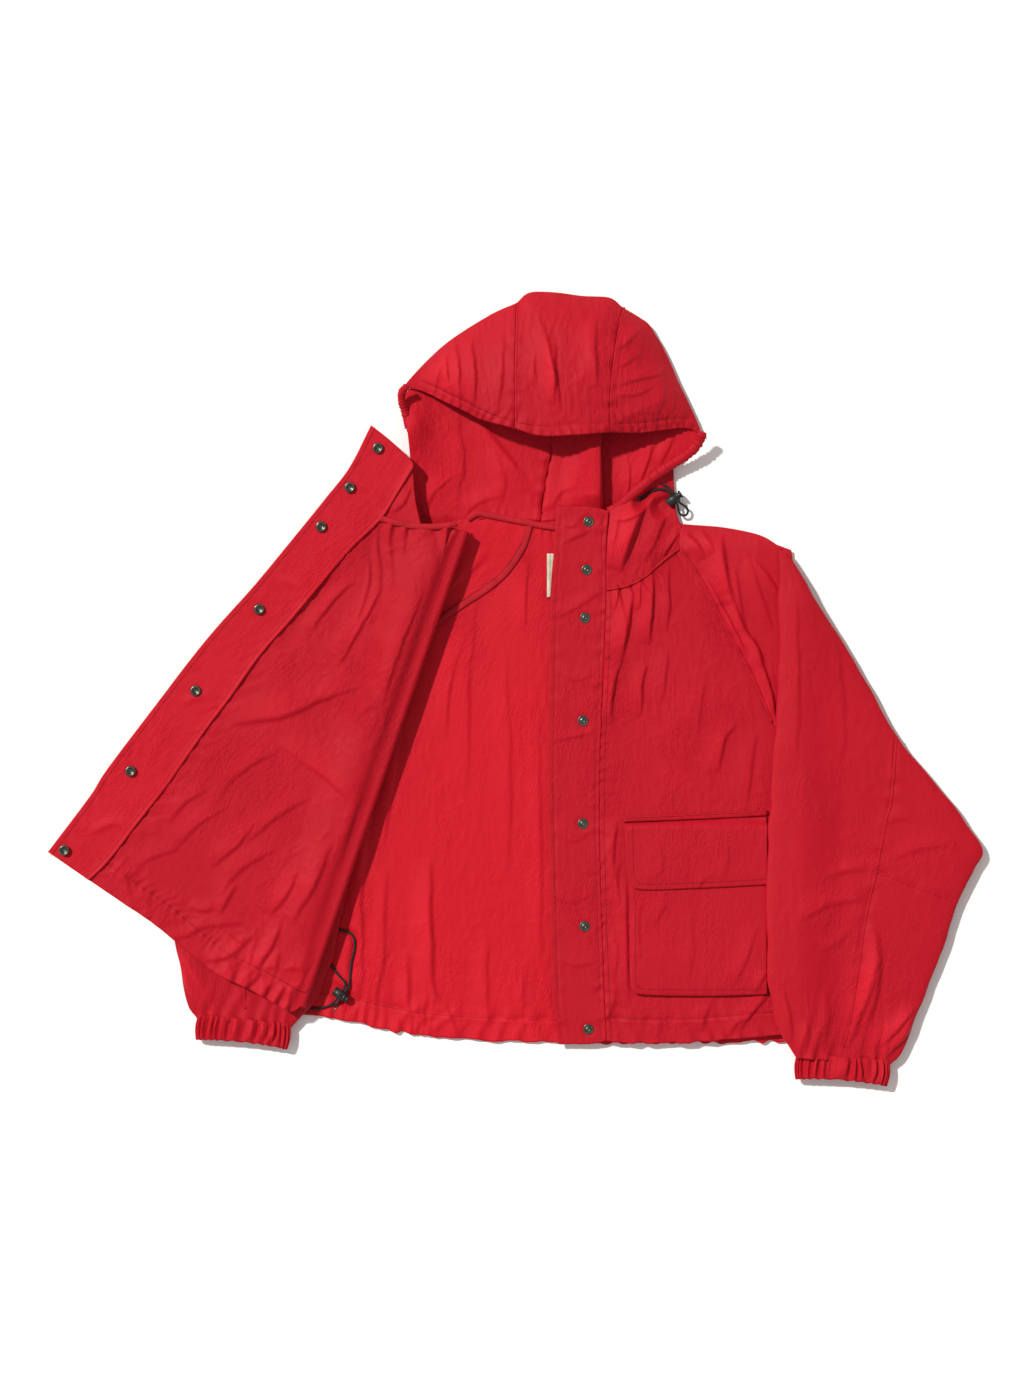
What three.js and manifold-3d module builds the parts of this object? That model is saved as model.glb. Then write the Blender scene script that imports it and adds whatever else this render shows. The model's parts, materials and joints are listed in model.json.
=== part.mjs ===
// A short hooded jacket of crinkled nylon, laid open on its back: millimetres, +Z up, collar towards +Y.
// The wearer's right front is folded back over the right sleeve, inside up; the left front lies flat with
// the left sleeve over it, and the hood lies above the collar with its crown turned over its mouth.
// The origin is on the floor, under the middle of the laid-out jacket.
import * as THREE from "three";
import { mergeVertices } from "three/addons/utils/BufferGeometryUtils.js";
import Module from "manifold-3d";

const wasm = await Module();
wasm.setup();

// ---- Driving dimensions ----
const cloth = 2; // thickness of every cloth solid
const gap = 0.3; // what two pieces keep between them where they touch
const seam = 0.4; // what two panels keep between them along a seam
const centre = 75; // x of the centre front
const neckY = 182; // y of the back neck seam
const bodyLength = 577; // back neck seam to hem
const leftHalfWidth = 300; // centre to the left side seam at the hem
const rightHalfWidth = 326; // centre to the right side seam at the hem, spread by the open front
const hemLift = 30; // how far the hem cord draws up the hem's right end
const chestHalfWidth = 235; // centre to each underarm
const underarmDrop = 263; // back neck seam to underarm
const raglanHalfNeck = 50; // centre to each back raglan seam at the neck
const shoulderHalfWidth = 221; // centre to each shoulder
const shoulderDrop = 22; // back neck seam down to each shoulder
const neckHalfWidth = 110; // centre to the neck point
const frontNeckDrop = 85; // back neck seam down to the front neckline at the placket
const bodyRise = 9; // how high the front lies over the floor

const placketInner = 38; // snap line to the placket's edge on the wearer's right
const placketOuter = 17; // snap line to the placket's edge on the wearer's left
const placketRise = 10; // placket top above the back neck seam
const placketBow = 7; // how far both ends of the snap line lie to the left of its middle
const snapMargin = 11; // top of the placket to the first snap
const snapHemMargin = 17; // hem to the last snap
const neckPitch = 53; // between the three snaps at the neck
const snapPlate = 5.8; // radius of a snap's plate
const snapPost = 2.3; // radius of the stud's head
const shankRadius = 1.4;
const plateThickness = 0.8;
const postHeight = 2.7;
const socketHeight = 3;

const foldAngle = 19; // the fold line's lean from the centre line, in degrees
const foldMiddle = [-145, -92]; // a point on the fold line
const foldClearance = 0.4; // what the open front's flap keeps over the right sleeve

const pocketWidth = 152;
const pocketHeight = 182;
const pocketDepth = 6.5;
const pocketTop = 332; // back neck seam down to the flap's seam
const leftPocketInset = 43; // centre to the left pocket
const rightPocketInset = 57; // centre to the right pocket
const pocketCorner = 20;
const flapDrop = 71; // length of the flap
const flapCorner = 14;

const sleeveLength = 542; // shoulder pivot to the cuff seam
const cuffWidth = 106;
const cuffLength = 24;
const cuffHeight = 14;
const elasticThickness = 1.2;
const leftSleeveHeight = 15;
const rightSleeveHeight = 14.4;
const sleeveBed = 0.1; // what a sleeve keeps over the layer under it, past the gap
const leftSleevePivot = [290, 138];
const rightSleevePivot = [-134, 158];
const rightSleeveTurn = 10.5; // how far the right sleeve lies turned outwards, in degrees

const hoodHinge = neckY + 13; // y of the line that the hood folds over
const hoodHeight = 240; // from that line to the crown
const crownRise = 42; // how high the crown stands over the hood's back

const cordRadius = 1.25;
const lockRadius = 5.2;
const lockLength = 14.4;
const lockWall = 1; // closed end of the lock's barrel
const plungerWall = 1.2; // from the plunger's slot to its inner end
const plungerRadius = 3.4;
const plungerTravel = 2;
const lockBore = plungerRadius + gap;

// ---- Places that follow ----
const hemY = neckY - bodyLength;
const underarmY = neckY - underarmDrop;
const placketTop = neckY + placketRise;
const frontNeckY = neckY - frontNeckDrop;
const onFloor = cloth + gap; // underside of what lies on the back panel
const frontTop = bodyRise + cloth;
const studPlateZ = frontTop + gap;
const socketZ = studPlateZ + plateThickness + gap;
const rightPlacketZ = socketZ + socketHeight + gap;
const rightBagZ = rightPlacketZ + cloth + gap;
const rightFlapZ = rightBagZ + pocketDepth + gap;
const rightSleeveZ = onFloor + sleeveBed;
const openFlapZ = rightSleeveZ + rightSleeveHeight + foldClearance;
const hingeZ = (rightFlapZ + cloth + openFlapZ) / 2; // height of the fold's axis

// x of the snap line at height y: the placket bows a little, with both ends to the left.
const snapLine = (y) => {
  const along = (2 * (y - hemY)) / (placketTop - hemY) - 1;
  return centre - 0.45 * placketBow + placketBow * along ** 2;
};
const firstSnap = placketTop - snapMargin;
const thirdSnap = firstSnap - 2 * neckPitch;
const snapPitch = (thirdSnap - (hemY + snapHemMargin)) / 4;
const snapYs = [firstSnap, firstSnap - neckPitch, thirdSnap];
for (let i = 1; i <= 4; i++) snapYs.push(thirdSnap - i * snapPitch);

const radians = THREE.MathUtils.degToRad;
const foldX = (y) => foldMiddle[0] + Math.tan(radians(foldAngle)) * (y - foldMiddle[1]);

// ---- Tools ----
// A curve through points, as a function of 0 to 1 that gives [x, y].
function edge(...points) {
  const curve = new THREE.SplineCurve(points.map(([x, y]) => new THREE.Vector2(x, y)));
  return (v) => curve.getPoint(v).toArray();
}

// Equal steps from 0 to 1.
const steps = (count) => Array.from({ length: count + 1 }, (_, i) => i / count);

// A sheet of cloth: a box divided at the stations us and vs, whose points are moved to place(u, v).
// That gives the underside, and the top lies one thickness above it.
function sheet(us, vs, place, thickness = cloth) {
  const box = new THREE.BoxGeometry(1, 1, 1, us.length - 1, vs.length - 1, 1);
  const at = box.getAttribute("position");
  const station = (list, share) => list[Math.round((share + 0.5) * (list.length - 1))];
  for (let i = 0; i < at.count; i++) {
    const [x, y, z] = place(station(us, at.getX(i)), station(vs, at.getY(i)));
    at.setXYZ(i, x, y, z + (at.getZ(i) + 0.5) * thickness);
  }
  return box;
}

// A sheet between two edges, low at v = 0 and high at v = 1, at the height rise(u, v, x, y).
function panel(near, far, us, vs, rise, thickness = cloth) {
  const place = (u, v) => {
    const [a, b] = near(v);
    const [c, d] = far(v);
    const [x, y] = [a + (c - a) * u, b + (d - b) * u];
    return [x, y, rise(u, v, x, y)];
  };
  return sheet(us, vs, place, thickness);
}

// Solids for joining and cutting, made from a closed geometry.
function solid(geometry) {
  const bare = geometry.clone();
  bare.deleteAttribute("normal");
  bare.deleteAttribute("uv");
  const merged = mergeVertices(bare, 1e-4);
  const vertProperties = new Float32Array(merged.getAttribute("position").array);
  const triVerts = new Uint32Array(merged.index.array);
  return new wasm.Manifold(new wasm.Mesh({ numProp: 3, vertProperties, triVerts }));
}

function geometryOf(made) {
  const mesh = made.getMesh();
  const geometry = new THREE.BufferGeometry();
  geometry.setAttribute("position", new THREE.BufferAttribute(new Float32Array(mesh.vertProperties), 3));
  geometry.setIndex(new THREE.BufferAttribute(new Uint32Array(mesh.triVerts), 1));
  geometry.computeVertexNormals();
  return geometry;
}

function material(color, roughness, metalness = 0) {
  return new THREE.MeshStandardMaterial({ color, roughness, metalness });
}
const nylon = material("#c4202f", 0.62);
const tape = material("#b91d2c", 0.7);
const labelCloth = material("#e9e2c8", 0.85);
const gunmetal = material("#5b6156", 0.35, 1);
const blackPlastic = material("#1d2422", 0.45);
const blackCord = material("#111716", 0.8);
const springSteel = material("#b9bcc0", 0.3, 1);
const rubberBand = material("#d8d6d0", 0.8);

const jacket = new THREE.Group();
function add(name, geometry, finish, parent = jacket) {
  const mesh = new THREE.Mesh(geometry, finish);
  mesh.name = name;
  parent.add(mesh);
  return mesh;
}

// ---- Body: back, yokes and left front ----
const leftSide = centre + leftHalfWidth;
const rightSide = centre - rightHalfWidth;
const rows = steps(12);
// The back's seams, from the hem up the side, round the underarm and along the raglan seam to the neck.
const backSeam = (sign, sideX, out) => {
  const at = (share, y) => [centre + sign * share + sign * out, y];
  const low = sign < 0 ? hemY + hemLift : hemY;
  const raglan = (s) => chestHalfWidth + (raglanHalfNeck - chestHalfWidth) * s;
  const climb = (s) => underarmY + underarmDrop * s;
  const points = [[sideX + sign * out, low], at(chestHalfWidth + 42, (hemY + underarmY) / 2)];
  points.push(at(chestHalfWidth, underarmY), at(raglan(0.22), climb(0.55)), at(raglanHalfNeck, neckY));
  return edge(...points);
};
add("back_panel", panel(backSeam(-1, rightSide, 0), backSeam(1, leftSide, 0), [0, 1], rows, () => 0), nylon);

// The back of each raglan sleeve beside the back panel: it reaches from the seam to past the shoulder.
function yokeBack(sign, sideX) {
  const whole = backSeam(sign, sideX, seam);
  const inner = (v) => whole(0.5 + 0.5 * v);
  const shoulder = (out, drop) => [centre + sign * (shoulderHalfWidth + out), neckY - drop];
  const low = [centre + sign * (chestHalfWidth + 20), underarmY];
  const outer = edge(low, shoulder(24, 110), shoulder(0, shoulderDrop));
  const sides = sign > 0 ? [inner, outer] : [outer, inner];
  return panel(...sides, [0, 1], steps(6), () => 0);
}
add("left_yoke_back", yokeBack(1, leftSide), nylon);
add("right_yoke_back", yokeBack(-1, rightSide), nylon);

// The band at the back of the neck, between the neck seam and the hood's fold.
const neckLeft = centre + neckHalfWidth;
const neckRight = centre - neckHalfWidth - 25;
const bandEnds = [edge([neckRight, neckY + seam], [neckRight, hoodHinge - seam])];
bandEnds.push(edge([neckLeft, neckY + seam], [neckLeft, hoodHinge - seam]));
add("collar_band", panel(...bandEnds, [0, 1], [0, 1], () => 0), nylon);

// A placket: a flat strip along the snap line with a hole for every snap.
function placket(z) {
  const outline = new THREE.Shape();
  const ys = steps(8).map((s) => hemY + s * (placketTop - hemY));
  const up = ys.map((y) => new THREE.Vector2(snapLine(y) + placketOuter, y));
  const down = ys.map((y) => new THREE.Vector2(snapLine(y) - placketInner, y)).reverse();
  outline.setFromPoints([...up, ...down]);
  for (const y of snapYs) {
    outline.holes.push(new THREE.Path().absarc(snapLine(y), y, shankRadius + gap, 0, 2 * Math.PI, true));
  }
  const made = new THREE.ExtrudeGeometry(outline, { depth: cloth, bevelEnabled: false, curveSegments: 5 });
  return made.translate(0, 0, z);
}
add("left_placket", placket(bodyRise), nylon);

// The front raglan seam of the left front, from the underarm to the neckline.
const frontRaglan = [
  [centre + chestHalfWidth, underarmY],
  [centre + chestHalfWidth - 28, underarmY + 58],
  [centre + chestHalfWidth - 70, underarmY + 145],
  [centre + neckHalfWidth - 7, neckY - 34],
];
const leftRaglan = (out) => edge(...frontRaglan.map(([x, y]) => [x + out, y + out]));
const leftPlacketEdge = (low, high) => (v) => {
  const y = low + (high - low) * v;
  return [snapLine(y) + placketOuter + seam, y];
};
// The far edge climbs the side seam over the first half of v and the raglan seam over the rest.
const sideSeam = edge([leftSide - 4, hemY], [leftSide - 22, (hemY + underarmY) / 2], frontRaglan[0]);
const leftFrontFar = (v) => (v < 0.5 ? sideSeam(2 * v) : leftRaglan(0)(2 * v - 1));
const frontRise = (u, v) => (u === 1 && v < 0.5 ? onFloor : bodyRise);
const leftFront = panel(leftPlacketEdge(hemY, frontNeckY), leftFrontFar, [0, 0.5, 0.88, 1], rows, frontRise);
add("left_front", leftFront, nylon);

// The front of the left raglan sleeve, from its seam to the shoulder, where the sleeve folds over it.
const shoulderX = leftSleevePivot[0] + 26;
const yokeFarPoints = [[shoulderX + 12, underarmY + 4], [shoulderX + 2, neckY - 110]];
yokeFarPoints.push([shoulderX - 22, neckY - 26]);
const yokeFar = edge(...yokeFarPoints);
const yokeRise = (u, v) => (u === 1 || v === 1 ? onFloor : bodyRise);
add("left_yoke_front", panel(leftRaglan(seam), yokeFar, [0, 0.5, 0.85, 1], steps(6), yokeRise), nylon);

// The left front of the collar, between the placket, the neckline and the neck point.
const collarFar = edge([frontRaglan[3][0], frontRaglan[3][1] + 3], [neckLeft - 1, neckY - 10]);
const collarRise = (u, v) => (u === 1 && v === 1 ? onFloor : bodyRise);
const collarNear = leftPlacketEdge(frontNeckY + 2, placketTop - 4);
add("left_collar", panel(collarNear, collarFar, [0, 0.5, 1], [0, 0.5, 1], collarRise), nylon);

// The neck tape covers the back neck seam on the inside.
const tapeWidth = 6;
const tapeLow = edge([neckRight + 4, neckY - 3], [centre - placketInner - 4, neckY - tapeWidth - 3]);
const tapeHigh = edge([neckRight + 4, neckY + tapeWidth - 3], [centre - placketInner - 4, neckY - 3]);
const tapePlace = (u, v) => {
  const [a, b] = tapeLow(u);
  const [c, d] = tapeHigh(u);
  return [a + (c - a) * v, b + (d - b) * v, onFloor];
};
add("neck_tape", sheet(steps(4), [0, 1], tapePlace), tape);

const labelWidth = 87;
const labelHeight = 46;
const label = new THREE.BoxGeometry(labelWidth, labelHeight, 0.6);
label.translate(centre, neckY - 61, onFloor + 0.3);
add("neck_label", label, labelCloth);

// ---- Pockets ----
// The outline of a pocket or its flap: width by height, hung from the top edge, with round lower corners.
function hungShape(width, height, corner) {
  const shape = new THREE.Shape();
  shape.moveTo(0, 0);
  shape.lineTo(0, -height + corner);
  shape.absarc(corner, -height + corner, corner, Math.PI, 1.5 * Math.PI);
  shape.absarc(width - corner, -height + corner, corner, 1.5 * Math.PI, 2 * Math.PI);
  shape.lineTo(width, 0);
  return shape;
}

// A pocket bag: a wall over a hollow, open at its top edge and towards the cloth that it is sewn on.
const pocketMouth = 8; // the mouth lies this far below the flap's seam
function pocketBag() {
  const options = { bevelEnabled: false, curveSegments: 4 };
  const outer = new THREE.ExtrudeGeometry(hungShape(pocketWidth, pocketHeight, pocketCorner), {
    ...options,
    depth: pocketDepth,
  });
  const innerWidth = pocketWidth - 2 * cloth;
  const inner = new THREE.ExtrudeGeometry(hungShape(innerWidth, pocketHeight, pocketCorner - cloth), {
    ...options,
    depth: pocketDepth,
  });
  inner.translate(cloth, cloth, -cloth);
  return geometryOf(solid(outer).subtract(solid(inner)));
}
const flapShape = hungShape(pocketWidth, flapDrop, flapCorner);
const flapOptions = { depth: cloth, bevelEnabled: false, curveSegments: 4 };
const flap = () => new THREE.ExtrudeGeometry(flapShape, flapOptions);
const flapY = neckY - pocketTop;
const leftPocketX = centre + leftPocketInset;
const bagZ = frontTop + gap;
const flapZ = bagZ + pocketDepth + gap;
add("left_pocket", pocketBag().translate(leftPocketX, flapY - pocketMouth, bagZ), nylon);
add("left_pocket_flap", flap().translate(leftPocketX, flapY, flapZ), nylon);

// ---- Snaps ----
// A stud: a rear plate behind the placket, a shank through it, and a plate with the post in front.
function stud(y) {
  const back = bodyRise - gap;
  const front = studPlateZ + plateThickness;
  const profile = [
    [0, back - plateThickness],
    [snapPlate - 0.6, back - plateThickness],
    [snapPlate - 0.6, back],
    [shankRadius, back],
    [shankRadius, studPlateZ],
    [snapPlate, studPlateZ],
    [snapPlate - 0.4, front],
    [snapPost - 0.4, front],
    [snapPost, front + 0.6 * postHeight],
    [snapPost - 0.7, front + postHeight],
    [0, front + postHeight],
  ];
  return turned(profile).translate(snapLine(y), y, 0);
}

// A socket: a ring with a hollow for the stud's post, a shank through the placket, and a cap outside it.
function socket(y) {
  const wall = 0.5;
  const top = socketZ + socketHeight;
  const cap = rightPlacketZ + cloth + gap;
  const profile = [
    [0, top - wall],
    [snapPost + 0.4, top - wall],
    [snapPost + 0.4, socketZ],
    [snapPlate - 0.6, socketZ],
    [snapPlate, socketZ + 0.8],
    [snapPlate, top],
    [shankRadius, top],
    [shankRadius, cap],
    [snapPlate + 0.4, cap],
    [snapPlate, cap + 0.7],
    [0, cap + 1.1],
  ];
  return turned(profile).translate(snapLine(y), y, 0);
}

// A round solid from its profile of [radius, z] points, turned to stand along Z.
function turned(profile, sides = 14) {
  const points = profile.map(([r, z]) => new THREE.Vector2(r, z));
  return new THREE.LatheGeometry(points, sides).rotateX(Math.PI / 2);
}
snapYs.forEach((y, i) => add(`snap_stud_${i + 1}`, stud(y), gunmetal));

// ---- Right front: made closed over the left placket, then turned open about the fold line ----
const rightFront = new THREE.Group();
const foldAxis = new THREE.Vector3(Math.sin(radians(foldAngle)), Math.cos(radians(foldAngle)), 0);
const foldOrigin = new THREE.Vector3(foldMiddle[0], foldMiddle[1], hingeZ);
rightFront.setRotationFromAxisAngle(foldAxis, -Math.PI);
rightFront.position.copy(foldOrigin).sub(foldOrigin.clone().applyQuaternion(rightFront.quaternion));
jacket.add(rightFront);

const rightNeckY = neckY - 64;
const foldEdge = (low, high, out) => (v) => {
  const y = low + (high - low) * v;
  return [foldX(y) + out / Math.cos(radians(foldAngle)), y];
};
const rightPlacketEdge = (v) => {
  const y = hemY + (rightNeckY - hemY) * v;
  return [snapLine(y) - placketInner - seam, y];
};
const rightFrontNear = foldEdge(hemY, neckY - 12, seam);
const rightPanel = panel(rightFrontNear, rightPlacketEdge, [0, 1], rows, () => rightPlacketZ);
add("right_front", rightPanel, nylon, rightFront);
add("right_placket", placket(rightPlacketZ), nylon, rightFront);

// The tape inside the right front's neckline, under the cloth when it is closed.
const rightNeckEnds = [rightFrontNear(0.985), rightPlacketEdge(0.985)];
const rightTapePlace = (u, v) => {
  const [[a, b], [c, d]] = rightNeckEnds;
  const along = 0.04 + 0.8 * u;
  const [x, y] = [a + (c - a) * along, b + (d - b) * along - tapeWidth * v];
  return [x, y, rightPlacketZ - cloth - gap];
};
add("right_neck_tape", sheet([1, 0.5, 0], [0, 1], rightTapePlace), tape, rightFront);

const rightPocketX = centre - rightPocketInset - pocketWidth;
add("right_pocket", pocketBag().translate(rightPocketX, flapY - pocketMouth, rightBagZ), nylon, rightFront);
const rightFlap = flap().translate(rightPocketX, flapY, rightFlapZ);
add("right_pocket_flap", rightFlap, nylon, rightFront);
snapYs.forEach((y, i) => add(`snap_socket_${i + 1}`, socket(y), gunmetal, rightFront));

// The strip of the right front that stays down between the side seam and the fold, above the lifted hem.
const stayLow = hemY + hemLift + 14;
const stayNear = edge([foldX(stayLow) - 6, stayLow], [foldX(stayLow + 60) - 9, stayLow + 60],
  [(rightSide + foldX(underarmY)) / 2 - 10, (hemY + underarmY) / 2], [foldX(underarmY) - 18, underarmY],
  [rightSleevePivot[0] + 6, neckY - 80], [rightSleevePivot[0] + 14, neckY - 36]);
const stayFar = foldEdge(stayLow, neckY - 26, -seam);
const stayRise = (u, v) => onFloor + (rightPlacketZ - onFloor) * u * Math.min(1, 4 * v + 0.2);
add("right_front_side", panel(stayNear, stayFar, [0, 0.5, 1], steps(8), stayRise), nylon);

// ---- Sleeves ----
// Outline of a sleeve laid flat, from its shoulder pivot with the arm towards -Y and the body on its -X side.
// The inner edge swells towards the body by the bulge.
function sleeveEdges(bulge) {
  const down = (share) => -sleeveLength * share;
  const inner = [[17, down(1)], [-bulge * 0.5, down(0.91)], [-bulge, down(0.63)], [-bulge * 0.6, down(0.4)]];
  inner.push([-4, down(0.1)], [-6, 10]);
  const outer = [[17 + cuffWidth, down(1.015)], [158, down(0.89)], [196, down(0.69)], [222, down(0.59)]];
  outer.push([128, down(0.36)], [22, 10]);
  return [edge(...inner), edge(...outer)];
}
// The sleeve's under layer lies at z, and its upper layer stands over it with its edges down on it.
function sleeve(side, bulge, z, height, place) {
  const [inner, outer] = sleeveEdges(bulge);
  const us = [0, 0.14, 0.5, 0.86, 1];
  const lift = (u, v) => (u === 0 || u === 1 || v === 1 ? cloth + gap : height - cloth);
  const under = panel(inner, outer, [0, 1], steps(10), () => z);
  const upper = panel(inner, outer, us, steps(10), (u, v) => z + lift(u, v));
  for (const [name, geometry] of [["under", under], ["upper", upper]]) {
    add(`${side}_sleeve_${name}`, geometry, nylon, place);
  }
  // A gathered cuff: a flat ring of cloth with an elastic band inside it.
  const [ix, iy] = inner(0);
  const [ox, oy] = outer(0);
  const cuffTurn = Math.atan2(oy - iy, ox - ix);
  const seat = new THREE.Group();
  seat.position.set((ix + ox) / 2, (iy + oy) / 2 - gap - 0.2, z + height / 2);
  seat.rotation.z = cuffTurn;
  place.add(seat);
  const half = Math.hypot(ox - ix, oy - iy) / 2 - 4;
  add(`${side}_cuff`, ring(half, cuffHeight / 2, cloth, cuffLength), nylon, seat);
  const inside = cloth + gap;
  const band = ring(half - inside, cuffHeight / 2 - inside, elasticThickness, cuffLength - 8);
  add(`${side}_cuff_elastic`, band.translate(0, -4, 0), rubberBand, seat);
}

// A flat ring that hangs from y = 0 towards -Y: half its width, half its height, its wall and its length.
function ring(half, halfHeight, wall, length) {
  const round = (grow) => {
    const [x, r] = [half - halfHeight, halfHeight - grow];
    const path = new THREE.Shape();
    path.absarc(x, 0, r, -Math.PI / 2, Math.PI / 2);
    path.absarc(-x, 0, r, Math.PI / 2, 1.5 * Math.PI);
    path.closePath();
    return path;
  };
  const outline = round(0);
  outline.holes.push(round(wall));
  const made = new THREE.ExtrudeGeometry(outline, { depth: length, bevelEnabled: false, curveSegments: 6 });
  return made.rotateX(Math.PI / 2);
}

const leftSleevePlace = new THREE.Group();
leftSleevePlace.position.set(...leftSleevePivot, 0);
jacket.add(leftSleevePlace);
sleeve("left", 17, frontTop + gap + sleeveBed, leftSleeveHeight, leftSleevePlace);

const rightSleevePlace = new THREE.Group();
rightSleevePlace.position.set(...rightSleevePivot, 0);
rightSleevePlace.scale.x = -1;
rightSleevePlace.rotation.z = -radians(rightSleeveTurn);
jacket.add(rightSleevePlace);
sleeve("right", -26, rightSleeveZ, rightSleeveHeight, rightSleevePlace);

// ---- Hood ----
const hoodBase = hoodHinge + seam;
const hoodTop = hoodHinge + hoodHeight;
const up = (share) => hoodBase + (hoodTop - hoodBase) * share;
const hoodOuterLeft = [[188, up(0)], [196, up(0.16)], [203, up(0.31)], [190, up(0.5)], [168, up(0.68)],
  [146, up(0.84)], [112, up(0.965)]];
const hoodOuterRight = [[-110, up(0)], [-113, up(0.26)], [-129, up(0.52)], [-96, up(0.73)], [-52, up(0.875)],
  [-12, up(0.98)], [2, up(1)]];
add("hood_back", panel(edge(...hoodOuterRight), edge(...hoodOuterLeft), [0, 1], rows, () => 0), nylon);

// The crown's three panels lie over the hood's back from the brim to the top.
// "across" goes from 0 to 1 over all three of them.
const brimRight = [-126, up(0.53)];
const brimLeft = [200, up(0.32)];
const seamRight = [[1, up(0.34)], [0, up(0.62)], [0, up(0.96)]];
const seamLeft = [[103, up(0.345)], [109, up(0.62)], [112, up(0.92)]];
const shift = (points, out) => edge(...points.map(([x, y]) => [x + out, y]));
const crownLift = (across, v) => {
  const inward = Math.min(1, across / 0.28, (1 - across) / 0.22);
  return onFloor + crownRise * inward * Math.min(1, (1 - v) / 0.4);
};
const crownRows = [0, 0.3, 0.6, 0.8, 1];
function crown(name, near, far, from, to, us) {
  add(name, panel(near, far, us, crownRows, (u, v) => crownLift(from + (to - from) * u, v)), nylon);
}
const crownRight = [brimRight, [-96, up(0.725)], [-52, up(0.865)], [-8, up(0.955)]];
const crownLeft = [brimLeft, [188, up(0.5)], [166, up(0.675)], [143, up(0.83)], [118, up(0.92)]];
crown("hood_crown_right", edge(...crownRight), shift(seamRight, -seam), 0, 0.4, [0, 0.7, 1]);
crown("hood_crown_centre", shift(seamRight, 0), shift(seamLeft, 0), 0.4, 0.7, [0, 0.5, 1]);
crown("hood_crown_left", shift(seamLeft, seam), edge(...crownLeft), 0.7, 1, [0, 0.3, 1]);

// The sides of the hood's opening, turned in over its back; the right one lies over its cord lock.
const leftMouth = edge([118, up(0.01)], [150, up(0.11)], [175, up(0.19)], [194, up(0.28)]);
const leftOuter = edge([186, up(0.01)], [193, up(0.12)], [198, up(0.21)], [200, up(0.29)]);
add("hood_left_side", panel(leftMouth, leftOuter, [0, 1], steps(4), () => onFloor), nylon);
const rightMouth = edge([-60, up(0.01)], [-68, up(0.26)], [-98, up(0.46)]);
const rightOuter = edge([-109, up(0.01)], [-112, up(0.26)], [-121, up(0.48)]);
const overLock = onFloor + 2 * lockRadius + gap;
const sideRise = (u, v) => onFloor + (overLock - onFloor) * Math.min(1, 2 * v);
add("hood_right_side", panel(rightOuter, rightMouth, [0, 1], steps(4), sideRise), nylon);

// ---- Cord locks and cords ----
// A cord lock lies along X about its place: a barrel with a bore from its open end, a plunger in the bore,
// and a spring behind the plunger. A slot through barrel and plunger lets two strands of cord pass along Y.
const slotHeight = 2 * cordRadius + 2 * gap;
const slotLength = 4 * cordRadius + 4 * gap;
const slotMiddle = 1.5;
const barrelEnd = 6;
const barrelStart = barrelEnd - lockLength;
const plungerStart = slotMiddle - slotLength / 2 - plungerWall;
const capThickness = 2;
const capStart = barrelEnd + plungerTravel + gap;
const alongX = (geometry, x) => geometry.rotateZ(-Math.PI / 2).translate(x, 0, 0);
const rod = (radius, from, to, sides = 16) => {
  return alongX(new THREE.CylinderGeometry(radius, radius, to - from, sides), (from + to) / 2);
};
const slot = (more) => {
  const box = new THREE.BoxGeometry(slotLength + more, 4 * lockRadius, slotHeight);
  return solid(box.translate(slotMiddle + more / 2, 0, 0));
};

function cordLock(name, place, sprung = true) {
  const bore = solid(rod(lockBore, barrelStart + lockWall, barrelEnd + 1));
  const barrel = solid(rod(lockRadius, barrelStart, barrelEnd)).subtract(bore).subtract(slot(0));
  add(`${name}_barrel`, geometryOf(barrel), blackPlastic, place);
  const stem = solid(rod(plungerRadius, plungerStart, capStart + 0.5));
  const cap = solid(rod(lockRadius - gap, capStart, capStart + capThickness));
  add(`${name}_plunger`, geometryOf(stem.add(cap).subtract(slot(plungerTravel))), blackPlastic, place);
  if (!sprung) return;
  const room = [barrelStart + lockWall + gap, plungerStart - plungerTravel - gap];
  add(`${name}_spring`, spring(...room), springSteel, place);
}

// A coil spring of one and a half turns between two ends along X.
function spring(from, to) {
  const wire = 0.3;
  const coil = lockBore - gap - 2 * wire;
  const turns = 1.5;
  const points = steps(turns * 8).map((s) => {
    const angle = 2 * Math.PI * turns * s;
    return [from + wire + (to - from - 2 * wire) * s, coil * Math.cos(angle), coil * Math.sin(angle)];
  });
  return swept(points, wire, 6, turns * 12);
}

// A round section carried along a smooth curve through points.
function swept(points, radius, sides, count) {
  const section = new THREE.Shape();
  section.setFromPoints(steps(sides).slice(1).map((s) => {
    return new THREE.Vector2(radius * Math.cos(2 * Math.PI * s), radius * Math.sin(2 * Math.PI * s));
  }));
  const path = new THREE.CatmullRomCurve3(points.map((point) => new THREE.Vector3(...point)));
  return new THREE.ExtrudeGeometry(section, { steps: count, bevelEnabled: false, extrudePath: path });
}

// A flat ring round the hole that a cord leaves the cloth by.
const eyeletHeight = 1;
function eyelet(name, x, y, z) {
  const ring = [[1.8, 0], [4, 0], [3.6, eyeletHeight], [2.2, eyeletHeight], [1.8, 0]];
  add(name, turned(ring, 12).translate(x, y, z), gunmetal);
}

// A bar at a cord's end, lying level and across the cord.
const barRadius = 1.5;
const barLength = 7;
function anchor(name, x, y, z) {
  const bar = new THREE.CapsuleGeometry(barRadius, barLength, 3, 8);
  add(name, bar.translate(x, y, z), blackPlastic);
}

// Each cord's route is in its lock's own frame: x along the barrel, y along the strands, z up from its axis.
const cordSteps = (points) => {
  const path = new THREE.CatmullRomCurve3(points.map((point) => new THREE.Vector3(...point)));
  return Math.ceil(path.getLength() / (5 * cordRadius));
};
function placed([x, y], z, turn) {
  const place = new THREE.Group();
  place.position.set(x, y, z);
  place.rotation.z = radians(turn);
  jacket.add(place);
  return place;
}

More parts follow.
